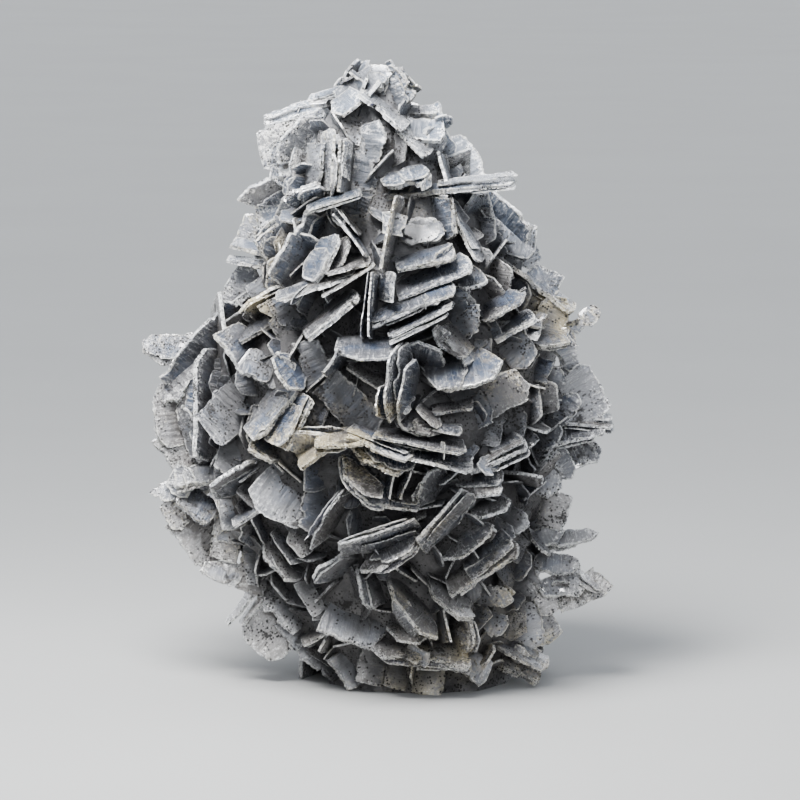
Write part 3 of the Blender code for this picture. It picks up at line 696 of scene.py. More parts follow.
LEFT = (
    (-58.5, 90, 80, 16, 9, 20, 2, 2.2, "leaf"),
    (-49, 37.5, -15, 14, 9, 20, 2, 2.4, "fan"),
    (-64, 84, -82, 22, 12, 20, 1, 3.6, "oval"),
    (-62, 95, 48, 18, 11, 30, 3, 3.4, "oval"),
    (-58, 79, -68, 20, 9, -32, 5, 2.4, "leaf"),
    (-62.5, 73.5, -50, 15, 11, 15, -1, 3.4, "box"),
    (-45, 87, 47, 25, 16, 14, 9, 2.8, "box"),
    (-34, 86, 54, 21, 9, 28, 11, 2.4, "bar"),
    (-28, 83, 66, 18, 9, 30, 11, 2.4, "bar"),
    (-21, 75.8, -4, 23, 10, -25, 10, 2.6, "leaf"),
    (-36, 74.5, -30, 12, 8, 35, 8, 2.2, "hex"),
    (-45, 72, 60, 13, 15, 5, 6, 2.4, "fan"),
    (-55, 66.6, 14, 18, 11, 52, 8, 2.8, "bar"),
    (-44, 65.3, 27, 19, 10, -48, 11, 2.6, "bar"),
    (-61, 64.5, 62, 11, 10, 25, 6, 3.4, "hex"),
    (-64.5, 62, 15, 13, 8, 20, 1, 2.6, "leaf"),
    (-56.5, 58, -30, 14, 10, 28, 7, 3.0, "box"),
    (-30.5, 59.5, -34, 21, 17, 10, 11, 2.8, "oval"),
    (-20, 57.5, 70, 19, 12, -15, 9, 2.6, "oval"),
    (-16, 53.5, 56, 23, 12, -66, 15, 1.8, "leaf"),
    (-42, 54.3, 36, 10, 9, 70, 10, 1.8, "bar"),
    (-47, 49.5, 84, 20, 11, 10, 6, 2.6, "box"),
    (-55.5, 48.3, -45, 20, 16, 18, -1, 3.0, "box"),
    (-63, 55, -62, 12, 8, 15, 0, 2.6, "hex"),
)
LOWER_LEFT = (
    (-58.5, 90, 80, 16, 9, 20, 2, 2.2, "leaf"),
    (-49, 37.5, -15, 14, 9, 20, 2, 2.4, "fan"),
    (-38.5, 38.5, 80, 18, 12, 15, 8, 2.8, "box"),
    (-31, 41.5, -42, 18, 11, 36, 10, 2.6, "leaf"),
    (-43.5, 27, 54, 14, 8, 70, 5, 2.0, "bar"),
    (-40.3, 26, 54, 12, 8, 70, 5, 1.8, "bar"),
    (-34.5, 19.3, -45, 18, 16, 10, 1, 2.8, "oval"),
    (-29.5, 25.5, -35, 14, 11, 20, 6, 2.8, "box"),
    (-20.5, 30, -62, 15, 11, 10, 8, 2.4, "box"),
    (-15, 38.5, 30, 16, 9, -42, 11, 2.2, "leaf"),
    (-26, 18, -55, 16, 10, 15, 5, 2.8, "box"),
    (-21.3, 18.3, 34, 9, 8, 68, 9, 1.8, "bar"),
    (-19.5, 11.5, -33, 17, 9, 20, 2, 3.0, "bar"),
    (-9.5, 21.5, -14, 22, 13, 22, 11, 3.0, "box"),
    (-10.5, 9, -50, 13, 11, 15, 4, 3.0, "box"),
    (-3.5, 9.5, 84, 14, 11, -10, 5, 3.2, "box"),
    (-5, 33.5, -76, 15, 8, 30, 8, 2.2, "bar"),
    (-1.5, 47.3, 18, 26, 13, -64, 16, 2.0, "bar"),
    (1.5, 42.5, 31, 21, 12, 58, 16, 2.6, "leaf"),
    (0, 38, 62, 7, 6, 15, 10, 2.0, "hex"),
)
LOWER_RIGHT = (
    (8, 27, -49, 25, 12, 58, 14, 2.6, "leaf"),
    (6, 23.5, -60, 16, 9, -30, 11, 2.2, "leaf"),
    (17.5, 22, -78, 13, 9, -70, 11, 1.8, "bar"),
    (19.5, 30, -38, 20, 9, 42, 12, 2.2, "leaf"),
    (22.8, 20, -76, 16, 8, -25, 12, 2.4, "leaf"),
    (6.5, 19.3, -8, 13, 9, 50, 13, 2.0, "leaf"),
    (4, 14, -5, 19, 9, 40, 11, 2.8, "leaf"),
    (17.5, 12.8, -6, 18, 9, 35, 11, 2.8, "box"),
    (13.5, 5.5, 86, 12, 12, 10, 8, 4.0, "box"),
    (4, 7, 82, 11, 9, -10, 6, 3.2, "box"),
    (28.5, 40, 33, 26, 12, 46, 13, 2.8, "box"),
    (25, 46.5, 38, 20, 10, 48, 11, 2.2, "leaf"),
    (35, 50, 45, 18, 11, 16, 7, 2.6, "box"),
    (41, 37, -66, 21, 11, -10, 7, 2.6, "box"),
    (51.5, 40, -5, 16, 9, 35, 3, 2.4, "oval"),
    (53, 33.3, 5, 16, 9, 28, 4, 2.8, "hex"),
    (60, 35, -32, 15, 9, 65, 3, 1.8, "leaf"),
    (48, 30, -70, 12, 9, 15, 2, 2.4, "box"),
    (41, 21.5, -76, 18, 14, 5, 5, 2.6, "box"),
    (31, 23, -25, 13, 10, 18, 8, 2.4, "fan"),
    (47.5, 22.5, -60, 14, 9, 22, 0, 2.4, "box"),
    (40, 13.5, -26, 21, 11, 64, 8, 2.2, "bar"),
    (38, 9.5, -25, 20, 11, 54, 8, 3.0, "bar"),
    (30.5, 12.5, 60, 9, 8, 70, 9, 1.8, "leaf"),
    (26, 9.5, -30, 13, 10, 20, 5, 3.0, "box"),
    (30, 30.5, -6, 20, 9, -22, 7, 2.2, "leaf"),
)
BLADE_SEED = 21
RIM_STEP = 0.62
RIM_LEAST = 28
FACE_RINGS = (0.86, 0.45)
FRONT_LEAVES = 3
FRONT_SPROUTS = 1
# A blade is made thinner than its row says, because plates lie on it, and it thins out further
# as it leaves the root mass.
THINNER = 0.72
TAPER = 0.5
TAPER_OVER = 15.0
# How a blade meets the root mass: how far it goes in, the slope and the turn that part a blade
# near edge-on from one that is face-on, the turn that it stops short of, and how much more face
# the first may show.
ROOTED = 3.0
STEEP = 0.5
FACE_ON = 25.0
MOST_TURN = 86
LEAST_SLOPE = 0.1
SHOWN_SLACK = 1.03
# The root mass's skin lies a little inside its rings. It slopes, so that a millimetre further out
# is a little less than a millimetre off it.
SKIN_SHARE = 0.94
SKIN_SLOPE = 0.9
# Millimetres: waves and chips of a rim, bites out of it, how much a layer may fall short, the
# bevel along a rim, and how far a face may bend. A blade splinters along its grain, so that the
# sides that end the grain are ragged and the sides along it stay straight. A wave takes up some
# points of the rim. A bite takes up 2 of them to a sixth of them all, or to 4 if that is more.
WEAR = (1.1, 0.55)
WAVE_POINTS = 8
LEAST_WAVES = 5
ALONG_GRAIN = 0.28
CORNER_CHIP = (0.0, 0.6)
CORNER_REACH = 1.6
BITES = (0, 5)
BITE_DEEP = (0.4, 2.2)
BITE_EVEN = (0.7, 1.0)
BITE_POINTS = (2, 4, 6)
SMALLER = 15.0
BREAKS = (0, 3)
BREAK = (0.80, 0.99)
BREAK_ROUGH = 0.25
LAYER = 0.7
LAYERS_MOST = 4
LAYER_EVEN = (0.5, 1.5)
LAYER_SHORT = 0.6
LAYER_POINTS = 6
JAG = 0.34
BEVEL = (0.3, 2.4)
BEVEL_MOST = 0.45
# The rounded edge of a face: its share of the bevel's width, and of the face's height.
ROUNDED = (0.15, 0.8)
WALL = (0.25, 0.8)
BEND = 0.45
RIPPLE = 0.10
RIPPLES, RIPPLE_PITCH = 5, 8.0
# The patterns of a blade's material start anywhere within so much, and those that fan out from
# its heart are squeezed from there to the rim.
PATTERN_START = (-400, 400)
FAN_SQUEEZE = 0.06
# Thin plates grown along the longer blades, at most one of them where the blade is seen face-on.
# They are smaller, lie a little askew, and stand off by a gap or run into the blade.
EDGE_ON = 0.6
LEAF_ON = 14.0
FACE_ON_LEAVES = 1
LEAF_THICK = (0.45, 1.0)
LEAF_SIZE = (0.55, 1.0)
LEAF_SHIFT = (0.7, 1.1)
LEAF_GAP = (-0.3, 0.9)
LEAF_SWING = 6.0
LEAF_TIPS = (1, 0.35, 0.35)
LEAF_STEP = 1.0
FOOT_CLEAR = 9.0
# Small crystals that cut through a blade's face at a steep angle, in millimetres and degrees.
SPROUT_LENGTH = (5.0, 12.0)
SPROUT_WIDTH = (4.0, 9.0)
SPROUT_THICK = (0.6, 1.3)
SPROUT_ANGLE = (40.0, 90.0)
SPROUT_REACH = (-0.42, 0.42)
SPROUT_CLEAR = 3.0


def sight_axes():
    """The right, the up and the forward direction of the view that the front is set out in."""
    rise = math.radians(EYE_RISE)
    right = Vector((1, 0, 0))
    up = Vector((0, math.sin(rise), math.cos(rise)))
    toward = Vector((0, -math.cos(rise), math.sin(rise)))
    return right, up, toward


def on_sight_line(across, up, depth):
    """The point seen at (across, up), that far behind the plane through the axis."""
    right, rising, toward = sight_axes()
    spread = 1 + depth / EYE_DISTANCE
    offset = right * (across - FRAME_MIDDLE[0]) + rising * (up - FRAME_MIDDLE[1])
    return AIM + offset * spread - toward * depth


def off_the_root(points):
    """How far each point, in millimetres, is outside the root mass."""
    heights, lefts, rights = np.array(ROOT_RINGS).T
    left, right = (np.interp(points[:, 2], heights, sides) for sides in (lefts, rights))
    half = (right - left) / 2
    sideways = (points[:, 0] - (left + right) / 2) / half
    round_it = np.hypot(sideways, points[:, 1] / (half * ROOT_DEPTH_SHARE))
    above = np.maximum(0, points[:, 2] - heights[-1])
    return np.maximum(0, (round_it - SKIN_SHARE) * half * SKIN_SLOPE) * (above == 0) + above


def blade_axes(right, up, toward, lean, turn, dip):
    """The directions of a blade's length, width and normal, from its attitude in a view."""
    lean, turn, dip = (math.radians(angle) for angle in (lean, turn, dip))
    level = right * math.cos(lean) + up * math.sin(lean)
    across = up * math.cos(lean) - right * math.sin(lean)
    along = level * math.cos(dip) + toward * math.sin(dip)
    facing = toward * math.cos(dip) - level * math.sin(dip)
    normal = facing * math.cos(turn) + across * math.sin(turn)
    return along, normal.cross(along), normal


def rooted(axes, sizes, toward, proud):
    """A blade's sizes and pride, and how far its middle moves, so that it reaches the root mass.

    A blade near edge-on grows wider at its hidden side. One near face-on stands less proud.
    """
    length, width, thick = sizes
    slopes = [axis.dot(toward) for axis in axes]
    deep = sum(abs(slope) * size for slope, size in zip(slopes, sizes))
    short = max(0.0, proud + ROOTED - deep)
    if abs(slopes[1]) < STEEP:
        return sizes, proud - short, deep / 2, Vector((0, 0, 0))
    wider = short / abs(slopes[1])
    move = axes[1] * math.copysign(wider / 2, -slopes[1])
    return (length, width + wider, thick), proud, deep / 2, move


def root_depth(across, up):
    """How far back the root mass is met on a sight line. Beside the mass it is the axis plane."""
    near = on_sight_line(across, up, -OUTSIDE)
    far = on_sight_line(across, up, 0)
    met, _, _, distance = ROOT_SKIN.ray_cast(near, (far - near).normalized(), (far - near).length)
    return 0 if met is None else distance - OUTSIDE


def edged(seen):
    """How a blade is turned and how wide it is, to reach the root mass and show no more face."""
    face_on = abs(seen.turn) < FACE_ON
    shown = seen.width * math.cos(math.radians(seen.turn))
    tipped = abs(math.sin(math.radians(seen.dip))) * seen.length
    for turn in range(round(abs(seen.turn)), MOST_TURN):
        slope = math.radians(turn)
        deep = seen.proud + ROOTED - tipped - seen.thick * math.cos(slope)
        width = max(seen.width, deep / max(math.sin(slope), LEAST_SLOPE))
        if face_on or width * math.cos(slope) < shown * SHOWN_SLACK:
            break
    return math.copysign(turn, seen.turn), seen.width if face_on else width


def seen_blades(rows):
    """Each blade of the front view: its middle, its axes, its sizes and its outline."""
    right, up, toward = sight_axes()
    for row in rows:
        seen = Seen(*row)
        turn, width = edged(seen)
        axes = blade_axes(right, up, toward, seen.lean, turn, seen.dip)
        sizes = (seen.length, width, seen.thick)
        sizes, proud, reach, move = rooted(axes, sizes, toward, seen.proud)
        depth = root_depth(seen.across, seen.up) - proud + reach
        yield on_sight_line(seen.across, seen.up, depth) + move, axes, sizes, seen.outline


def round_noise(rng, count, knots):
    """Smooth noise round a closed line, 0 to 1."""
    values = rng.random(knots)
    place = np.arange(count) * knots / count
    low = place.astype(int)
    share = place - low
    share = share * share * (3 - 2 * share)
    return values[low % knots] * (1 - share) + values[(low + 1) % knots] * share


def rim_line(outline, length, width, step):
    """Points at even steps round an outline, the side that each is on, the way inwards from that
    side, and how near it is to a corner."""
    corners = np.array(OUTLINES[outline]) * (length / 2, width / 2)
    sides = np.roll(corners, -1, axis=0) - corners
    run = np.hypot(*sides.T)
    count = max(RIM_LEAST, round(run.sum() / step))
    place = np.arange(count) / count * run.sum()
    side = np.searchsorted(np.cumsum(run), place, side="right")
    gone = place - np.cumsum(run)[side] + run[side]
    points = corners[side] + sides[side] * (gone / run[side])[:, None]
    inwards = (np.stack((-sides[:, 1], sides[:, 0]), axis=1) / run[:, None])[side]
    return points, side, inwards, np.exp(-np.minimum(gone, run[side] - gone) / CORNER_REACH)


def worn_rim(rng, rim, inwards, corner, size):
    """The rim after a long time: chipped, bitten, finely jagged, and broken off straight."""
    count = len(rim)
    wear = round_noise(rng, count, max(LEAST_WAVES, count // WAVE_POINTS)) ** 2 * WEAR[0]
    wear += rng.random(count) ** 2 * WEAR[1]
    narrowest, widest, share = BITE_POINTS
    for _ in range(rng.integers(*BITES)):
        start = rng.integers(count)
        bite = (start + np.arange(rng.integers(narrowest, max(widest, count // share)))) % count
        wear[bite] += rng.uniform(*BITE_DEEP) * rng.uniform(*BITE_EVEN, len(bite))
    wear *= ALONG_GRAIN + (1 - ALONG_GRAIN) * inwards[:, 1] ** 2
    wear += corner * rng.uniform(*CORNER_CHIP)
    line = rim + inwards * wear[:, None] * min(1, size / SMALLER)
    for _ in range(rng.integers(*BREAKS)):
        angle = rng.uniform(0, math.tau)
        way = np.array((math.cos(angle), math.sin(angle)))
        over = line @ way - (line @ way).max() * rng.uniform(*BREAK)
        over -= rng.random(count) * BREAK_ROUGH
        line = line - way * np.maximum(0, over)[:, None]
    return line


def wall_rows(rng, line, inwards, low, high):
    """The wall of a rim, from its lower to its upper edge: thin layers, each worn differently."""
    count = len(line)
    layers = max(1, min(LAYERS_MOST, round((high - low) / LAYER)))
    levels = np.cumsum([0, *rng.uniform(*LAYER_EVEN, layers)])
    levels = low + levels / levels[-1] * (high - low)
    rows = []
    for level, next_level in zip(levels, levels[1:]):
        short = round_noise(rng, count, max(LEAST_WAVES, count // LAYER_POINTS))
        short *= rng.uniform(0, LAYER_SHORT)
        edge = line + inwards * (short + rng.random(count) * JAG)[:, None]
        rows += [(edge, level, np.zeros(count)), (edge, next_level, np.zeros(count))]
    return rows


def blade_shell(rng, blade, step=RIM_STEP, face_rings=FACE_RINGS):
    """One blade as closed rows of points, with the values that its material needs.

    From its wall each face slopes up by a bevel of its own along each side of the outline.
    """
    middle, axes, (length, width, thick), outline = blade
    thick *= THINNER
    rim, side, inwards, corner = rim_line(outline, length, width, step)
    heart = rim.mean(axis=0)
    deep = ((heart - rim) * inwards).sum(axis=1)
    smooth = inwards + np.roll(inwards, 1, axis=0) + np.roll(inwards, -1, axis=0)
    smooth /= np.linalg.norm(smooth, axis=1, keepdims=True)
    line = worn_rim(rng, rim, smooth, corner, length)
    wall = thick / 2 * rng.uniform(*WALL)
    round_in, round_up = ROUNDED

    def face_rows(level):
        slopes = rng.uniform(*BEVEL, side.max() + 1)[side]
        bevel = 1 - np.minimum(slopes / deep, BEVEL_MOST)
        rows = [(1 - (1 - bevel) * round_in, level * round_up), (bevel, level)]
        rows += [(bevel * ring, level) for ring in face_rings]
        return [
            (heart + (line - heart) * share[:, None], at, deep * (1 - share)) for share, at in rows
        ]

    lower = face_rows(-thick / 2)[::-1]
    walls = wall_rows(rng, line, smooth, -wall, wall)
    rows = [*lower, *walls, *face_rows(thick / 2)]
    count = len(rim)
    flat = np.concatenate([heart[None], *(row for row, _, _ in rows), heart[None]])
    levels = [np.full(count, at) for _, at, _ in rows]
    level = np.concatenate([[-thick / 2], *levels, [thick / 2]])
    to_rim = np.concatenate([[deep.mean()], *(far for _, _, far in rows), [deep.mean()]])
    bend = rng.uniform(-BEND, BEND, 2)
    ripple = waves(np.column_stack((flat, level)), rng.integers(1 << 30), RIPPLES, RIPPLE_PITCH)
    lift = (bend * (2 * flat / (length, width)) ** 2).sum(axis=1)
    lift += ripple * RIPPLE * np.clip(to_rim, 0, 1)
    along, across, normal = np.array([list(axis) for axis in axes])
    place = np.array(middle) + flat[:, :1] * along + flat[:, 1:] * across
    thinner = 1 - TAPER * np.clip(off_the_root(place) / TAPER_OVER, 0, 1)
    place += (level * thinner + lift)[:, None] * normal
    ring = np.arange(count)
    after = (ring + 1) % count
    quads = []
    for low in range(1, 1 + (len(rows) - 1) * count, count):
        high = low + count
        quads.append(np.column_stack((low + ring, low + after, high + after, high + ring)))
    top = len(place) - 1
    fans = [np.column_stack((after + 1, ring + 1, ring * 0))]
    fans.append(np.column_stack((top - count + ring, top - count + after, ring * 0 + top)))
    reach = np.linalg.norm(line - heart, axis=1).mean()
    spread = np.linalg.norm(flat - heart, axis=1, keepdims=True) + 1e-6
    around = (flat - heart) / spread * reach
    values = {
        "plate": np.column_stack((flat, level)) + rng.uniform(*PATTERN_START, 3),
        "fan": np.column_stack((around, to_rim * FAN_SQUEEZE)) + rng.uniform(*PATTERN_START, 3),
        "rim": to_rim,
        "tone": np.full(len(place), rng.random()),
        "depth": off_the_root(place),
    }
    return place, np.concatenate(quads), np.concatenate(fans), values


def leaves(rng, blade, most):
    """Thin plates grown along a blade's faces, nearly parallel to it and smaller."""
    middle, (along, across, normal), (length, width, thick), outline = blade
    showing = abs(normal.dot(sight_axes()[2]))
    many = rng.integers(0, (most if showing < EDGE_ON else FACE_ON_LEAVES) + 1)
    for _ in range(many if length > LEAF_ON else 0):
        side = rng.choice((-1, 1))
        leaf = rng.uniform(*LEAF_THICK)
        size = np.array((length, width)) * rng.uniform(*LEAF_SIZE, 2)
        slack = (np.array((length, width)) - size) / 2
        shift = slack * rng.choice((-1, 1), 2) * rng.uniform(*LEAF_SHIFT, 2)
        swing, tip, roll = np.radians(rng.normal(0, LEAF_SWING, 3) * LEAF_TIPS)
        turned = (along + across * swing + normal * tip).normalized()
        facing = (normal - along * tip + across * roll).normalized()
        sideways = facing.cross(turned).normalized()
        axes = (turned, sideways, turned.cross(sideways))
        off = side * (thick * THINNER / 2 + rng.uniform(*LEAF_GAP))
        spot = middle + along * shift[0] + across * shift[1] + normal * off
        if spot.z > FOOT_CLEAR:
            yield spot, axes, (*size, leaf / THINNER), outline


def sprouts(rng, blade, most):
    """Small crystals grown through a blade's face, steep to it, off the root mass."""
    middle, (along, across, normal), (length, width, _), _ = blade
    for _ in range(rng.integers(0, most + 1) if length > LEAF_ON else 0):
        spot = middle + along * length * rng.uniform(*SPROUT_REACH)
        spot += across * width * rng.uniform(*SPROUT_REACH)
        swing, steep = rng.uniform(0, math.tau), math.radians(rng.uniform(*SPROUT_ANGLE))
        level = along * math.cos(swing) + across * math.sin(swing)
        facing = normal * math.cos(steep) + level * math.sin(steep)
        turned = across * math.cos(swing) - along * math.sin(swing)
        sizes = [rng.uniform(*span) for span in (SPROUT_LENGTH, SPROUT_WIDTH, SPROUT_THICK)]
        outline = rng.choice(tuple(OUTLINES))
        if spot.z > FOOT_CLEAR and off_the_root(np.array([spot]))[0] > SPROUT_CLEAR:
            yield spot, (turned, facing.cross(turned), facing), sizes, outline


def shells_of(rng, blades, step, most_leaves, most_sprouts):
    """The shells of some blades, of the thin plates along them and of the crystals through them."""
    made = []
    for blade in blades:
        made.append(blade_shell(rng, blade, step))
        grown = [*leaves(rng, blade, most_leaves), *sprouts(rng, blade, most_sprouts)]
        made += [blade_shell(rng, small, LEAF_STEP, ()) for small in grown]
    return made


def one_mesh(name, shells):
    """Many closed shells as one mesh, with the values that the material needs."""
    places, faces, values, start = [], [], {}, 0
    for place, quads, fans, own in shells:
        places.append(place)
        faces += (quads + start).tolist() + (fans + start).tolist()
        for key, value in own.items():
            values.setdefault(key, []).append(value)
        start += len(place)
    mesh = bpy.data.meshes.new(name)
    mesh.from_pydata(np.concatenate(places) * MM, [], faces)
    for key, value in values.items():
        set_values(mesh, key, np.concatenate(value))
    return mesh


def cut_mesh(mesh):
    """Cuts a finished mesh off at the base."""
    shell = bmesh.new()
    shell.from_mesh(mesh)
    cut_flat(shell)
    shell.to_mesh(mesh)
    shell.free()


def blades_piece(name, blades, step, most_leaves, most_sprouts):
    """Puts large blades in the scene as one piece, cut off at the base if they reach below it."""
    mesh = one_mesh(name, shells_of(blade_rng, blades, step, most_leaves, most_sprouts))
    if points_of(mesh)[:, 2].min() < 0:
        cut_mesh(mesh)
    piece_of(mesh, name)


ROOT_SKIN = BVHTree.FromPolygons(*root_shape())
blade_rng = np.random.default_rng(BLADE_SEED)
regions = {
    "blades_crown": CROWN,
    "blades_upper_left": UPPER_LEFT,
    "blades_upper_right": UPPER_RIGHT,
    "blades_middle": MIDDLE,
    "blades_left": LEFT,
    "blades_lower_left": LOWER_LEFT,
    "blades_lower_right": LOWER_RIGHT,
}
for name, rows in regions.items():
    blades_piece(name, seen_blades(rows), RIM_STEP, FRONT_LEAVES, FRONT_SPROUTS)

# The large blades of the sides and the back, which the photo doesn't show. They grow by rule in
# rows round the root mass, as the front's do, in any slope and mostly with the rim outwards.
ROW_FIRST = 4.0
ROW_LAST = 172.0
ROW_RISE = 16.5
ROW_SPACING = 24.0
ROW_LEAST = 3
ROW_PLACE = (0.2, 0.8)
# The rows run round the back between two azimuths, and fall short of them low down and high up.
RULE_FROM = 78.0
RULE_TO = 282.0
RULE_LOW = 14.0
RULE_HIGH = 118.0
RULE_INSET = 0.9
RULE_SEED = 5
RULE_STEP = 1.1
RULE_LEAVES = 2
RULE_SPROUTS = 1
RULE_WANDER = (-4.0, 4.0)
RULE_LENGTH = (24.0, 38.0)
RULE_WIDTH = (18.0, 26.0)
RULE_THICK = (2.4, 3.6)
RULE_TURN = (25.0, 75.0)
RULE_DIP = (-16.0, 16.0)
RULE_PROUD = (8.0, 14.0)
ANY_LEAN = (0, 180)
# The rise over which the slope of the root mass's side is taken.
SLOPE_OVER = 4.0
# A few shorter ones in a ring round the top, splayed outwards.
CROWN_BLADES = 4
CROWN_SHORT = 0.62
CROWN_RING = (5.0, 8.0)
CROWN_MIDDLE = (-3.0, 4.0, 176.0)
CROWN_SPLAY = 0.4


def root_surface(height, azimuth):
    """A point on the root mass's side, and the way out of it there."""
    middle, half, deep = root_section(height)
    angle = math.radians(azimuth)
    way = Vector((math.sin(angle), -math.cos(angle), 0))
    met, _, _, _ = ROOT_SKIN.ray_cast(Vector((middle, 0, height)) + way * OUTSIDE, -way)
    upper_half = root_section(height + SLOPE_OVER)[1]
    out = Vector((math.sin(angle) / half, -math.cos(angle) / deep, 0)).normalized()
    return met, (out + Vector((0, 0, (half - upper_half) / SLOPE_OVER))).normalized()


def grown_blade(rng, point, toward):
    """One blade of the rule: any lean, near edge-on, its rim standing off the root mass."""
    right = Vector((0, 0, 1)).cross(toward).normalized()
    up = toward.cross(right)
    turn = rng.choice((-1, 1)) * rng.uniform(*RULE_TURN)
    lean, dip = rng.uniform(*ANY_LEAN), rng.uniform(*RULE_DIP)
    axes = blade_axes(right, up, toward, lean, turn, dip)
    sizes = tuple(rng.uniform(*span) for span in (RULE_LENGTH, RULE_WIDTH, RULE_THICK))
    sizes, proud, reach, move = rooted(axes, sizes, toward, rng.uniform(*RULE_PROUD))
    middle = point + toward * (proud - reach) + move
    return middle, axes, sizes, rng.choice(tuple(OUTLINES))


def rule_blades():
    """The blades of the rows, from the foot up, and those of the ring round the top."""
    rng = random.Random(RULE_SEED)
    height = ROW_FIRST
    while height <= ROW_LAST:
        _, half, deep = root_section(height)
        girth = math.pi * (half + deep)
        count = max(ROW_LEAST, round(girth * (RULE_TO - RULE_FROM) / 360 / ROW_SPACING))
        inset = max(0, height - RULE_HIGH, RULE_LOW - height) * RULE_INSET
        for place in range(count):
            share = (place + rng.uniform(*ROW_PLACE)) / count
            azimuth = RULE_FROM + inset + (RULE_TO - RULE_FROM - 2 * inset) * share
            point, toward = root_surface(height + rng.uniform(*RULE_WANDER), azimuth)
            yield grown_blade(rng, point, toward)
        height += ROW_RISE
    for place in range(CROWN_BLADES):
        angle = math.tau * place / CROWN_BLADES
        round_it = Vector((math.sin(angle), -math.cos(angle), 0))
        offset = Vector((round_it.x * CROWN_RING[0], round_it.y * CROWN_RING[1], 0))
        toward = (round_it * CROWN_SPLAY + Vector((0, 0, 1))).normalized()
        blade = grown_blade(rng, Vector(CROWN_MIDDLE) + offset, toward)
        middle, axes, (length, width, thick), outline = blade
        yield middle, axes, (length * CROWN_SHORT, width * CROWN_SHORT, thick), outline


blades_piece("blades_back", rule_blades(), RULE_STEP, RULE_LEAVES, RULE_SPROUTS)

# The short blades that crowd on the peak. They are the same crystals, small and frosted white,
# and stand out of the top of the root mass in all directions.
THICKET = 34
THICKET_MIDDLE = (-3.0, 1.0, 172.0)
THICKET_RADII = (11.5, 9.0, 12.5)
THICKET_RISE = (0.05, 1)
THICKET_LENGTH = (7.0, 12.0)
THICKET_WIDTH = (5.0, 9.0)
THICKET_THICK = (0.9, 1.9)
THICKET_TURN = (10, 80)
THICKET_DIP = (-35, 35)
THICKET_PROUD = (-2, 1)


def thicket_blades():
    """The blades of the peak, scattered by rule over the upper half of an egg."""
    rng = random.Random(RULE_SEED)
    for _ in range(THICKET):
        angle, rise = rng.uniform(0, math.tau), rng.uniform(*THICKET_RISE)
        flat = math.sqrt(1 - rise * rise)
        toward = Vector((flat * math.cos(angle), flat * math.sin(angle), rise))
        point = Vector([m + t * r for m, t, r in zip(THICKET_MIDDLE, toward, THICKET_RADII)])
        right = Vector((0, 0, 1)).cross(toward).normalized()
        turn = rng.choice((-1, 1)) * rng.uniform(*THICKET_TURN)
        lean, dip = rng.uniform(*ANY_LEAN), rng.uniform(*THICKET_DIP)
        axes = blade_axes(right, toward.cross(right), toward, lean, turn, dip)
        spans = (THICKET_LENGTH, THICKET_WIDTH, THICKET_THICK)
        sizes = tuple(rng.uniform(*span) for span in spans)
        middle = point + toward * rng.uniform(*THICKET_PROUD)
        yield middle, axes, sizes, rng.choice(tuple(OUTLINES))


blades_piece("blades_peak", thicket_blades(), LEAF_STEP, 0, 0)

# The small blades that fill the hollows between the large ones. They are the same crystals,
# thinner and less broken, crowded on the root mass with their rims outwards.
SMALL_SEED = 8
SMALL_KINDS = 6
SMALL_LENGTH = (14.0, 20.0)
SMALL_WIDTH = (13.0, 18.0)
SMALL_THICK = (1.2, 1.7)
SMALL_STEP = 1.4
# How far apart they grow in front and behind, and how many points for each square metre are
# tried for it.
SMALL_SPACING = (5.9, 6.4)
SMALL_TRIES = 4e5
SMALL_SCALE = (0.7, 1.1)
SMALL_TILT = 48.0
SMALL_FROM = 6.0
SMALL_TO = 172.0
SPIN_SEED, SCALE_SEED, TONE_SEED = 3, 4, 5
# How far a large blade is looked for over the root mass, from how near, and the share of their
# full size that the small ones reach where there is no room, and at most behind and in front.
ROOM = 14.0
ROOM_FROM = 0.5
LEAST_SHARE = 0.2
MOST_SHARE = (0.8, 1.1)
FRONTWARD = 0.15


class Growth:
    """A tree of geometry nodes, filled one node at a time."""

    def __init__(self, name):
        self.tree = bpy.data.node_groups.new(name, "GeometryNodeTree")
        self.tree.is_modifier = True

    def node(self, kind, settings, **inputs):
        node = self.tree.nodes.new(kind)
        for setting, value in settings.items():
            setattr(node, setting, value)
        for name, value in inputs.items():
            name = name.replace("_", " ")
            self.feed(value, next(s for s in node.inputs if s.enabled and s.name == name))
        return next((s for s in node.outputs if s.enabled), None)

    def feed(self, value, socket):
        if isinstance(value, bpy.types.NodeSocket):
            self.tree.links.new(value, socket)
        else:
            socket.default_value = value

    def random(self, kind, low, high, seed):
        settings = {"data_type": kind}
        return self.node("FunctionNodeRandomValue", settings, Min=low, Max=high, Seed=seed)

    def read(self, name):
        settings = {"data_type": "FLOAT"}
        return self.node("GeometryNodeInputNamedAttribute", settings, Name=name)

    def times(self, first, second):
        made = self.node("ShaderNodeMath", {"operation": "MULTIPLY"})
        self.feed(first, made.node.inputs[0])
        self.feed(second, made.node.inputs[1])
        return made


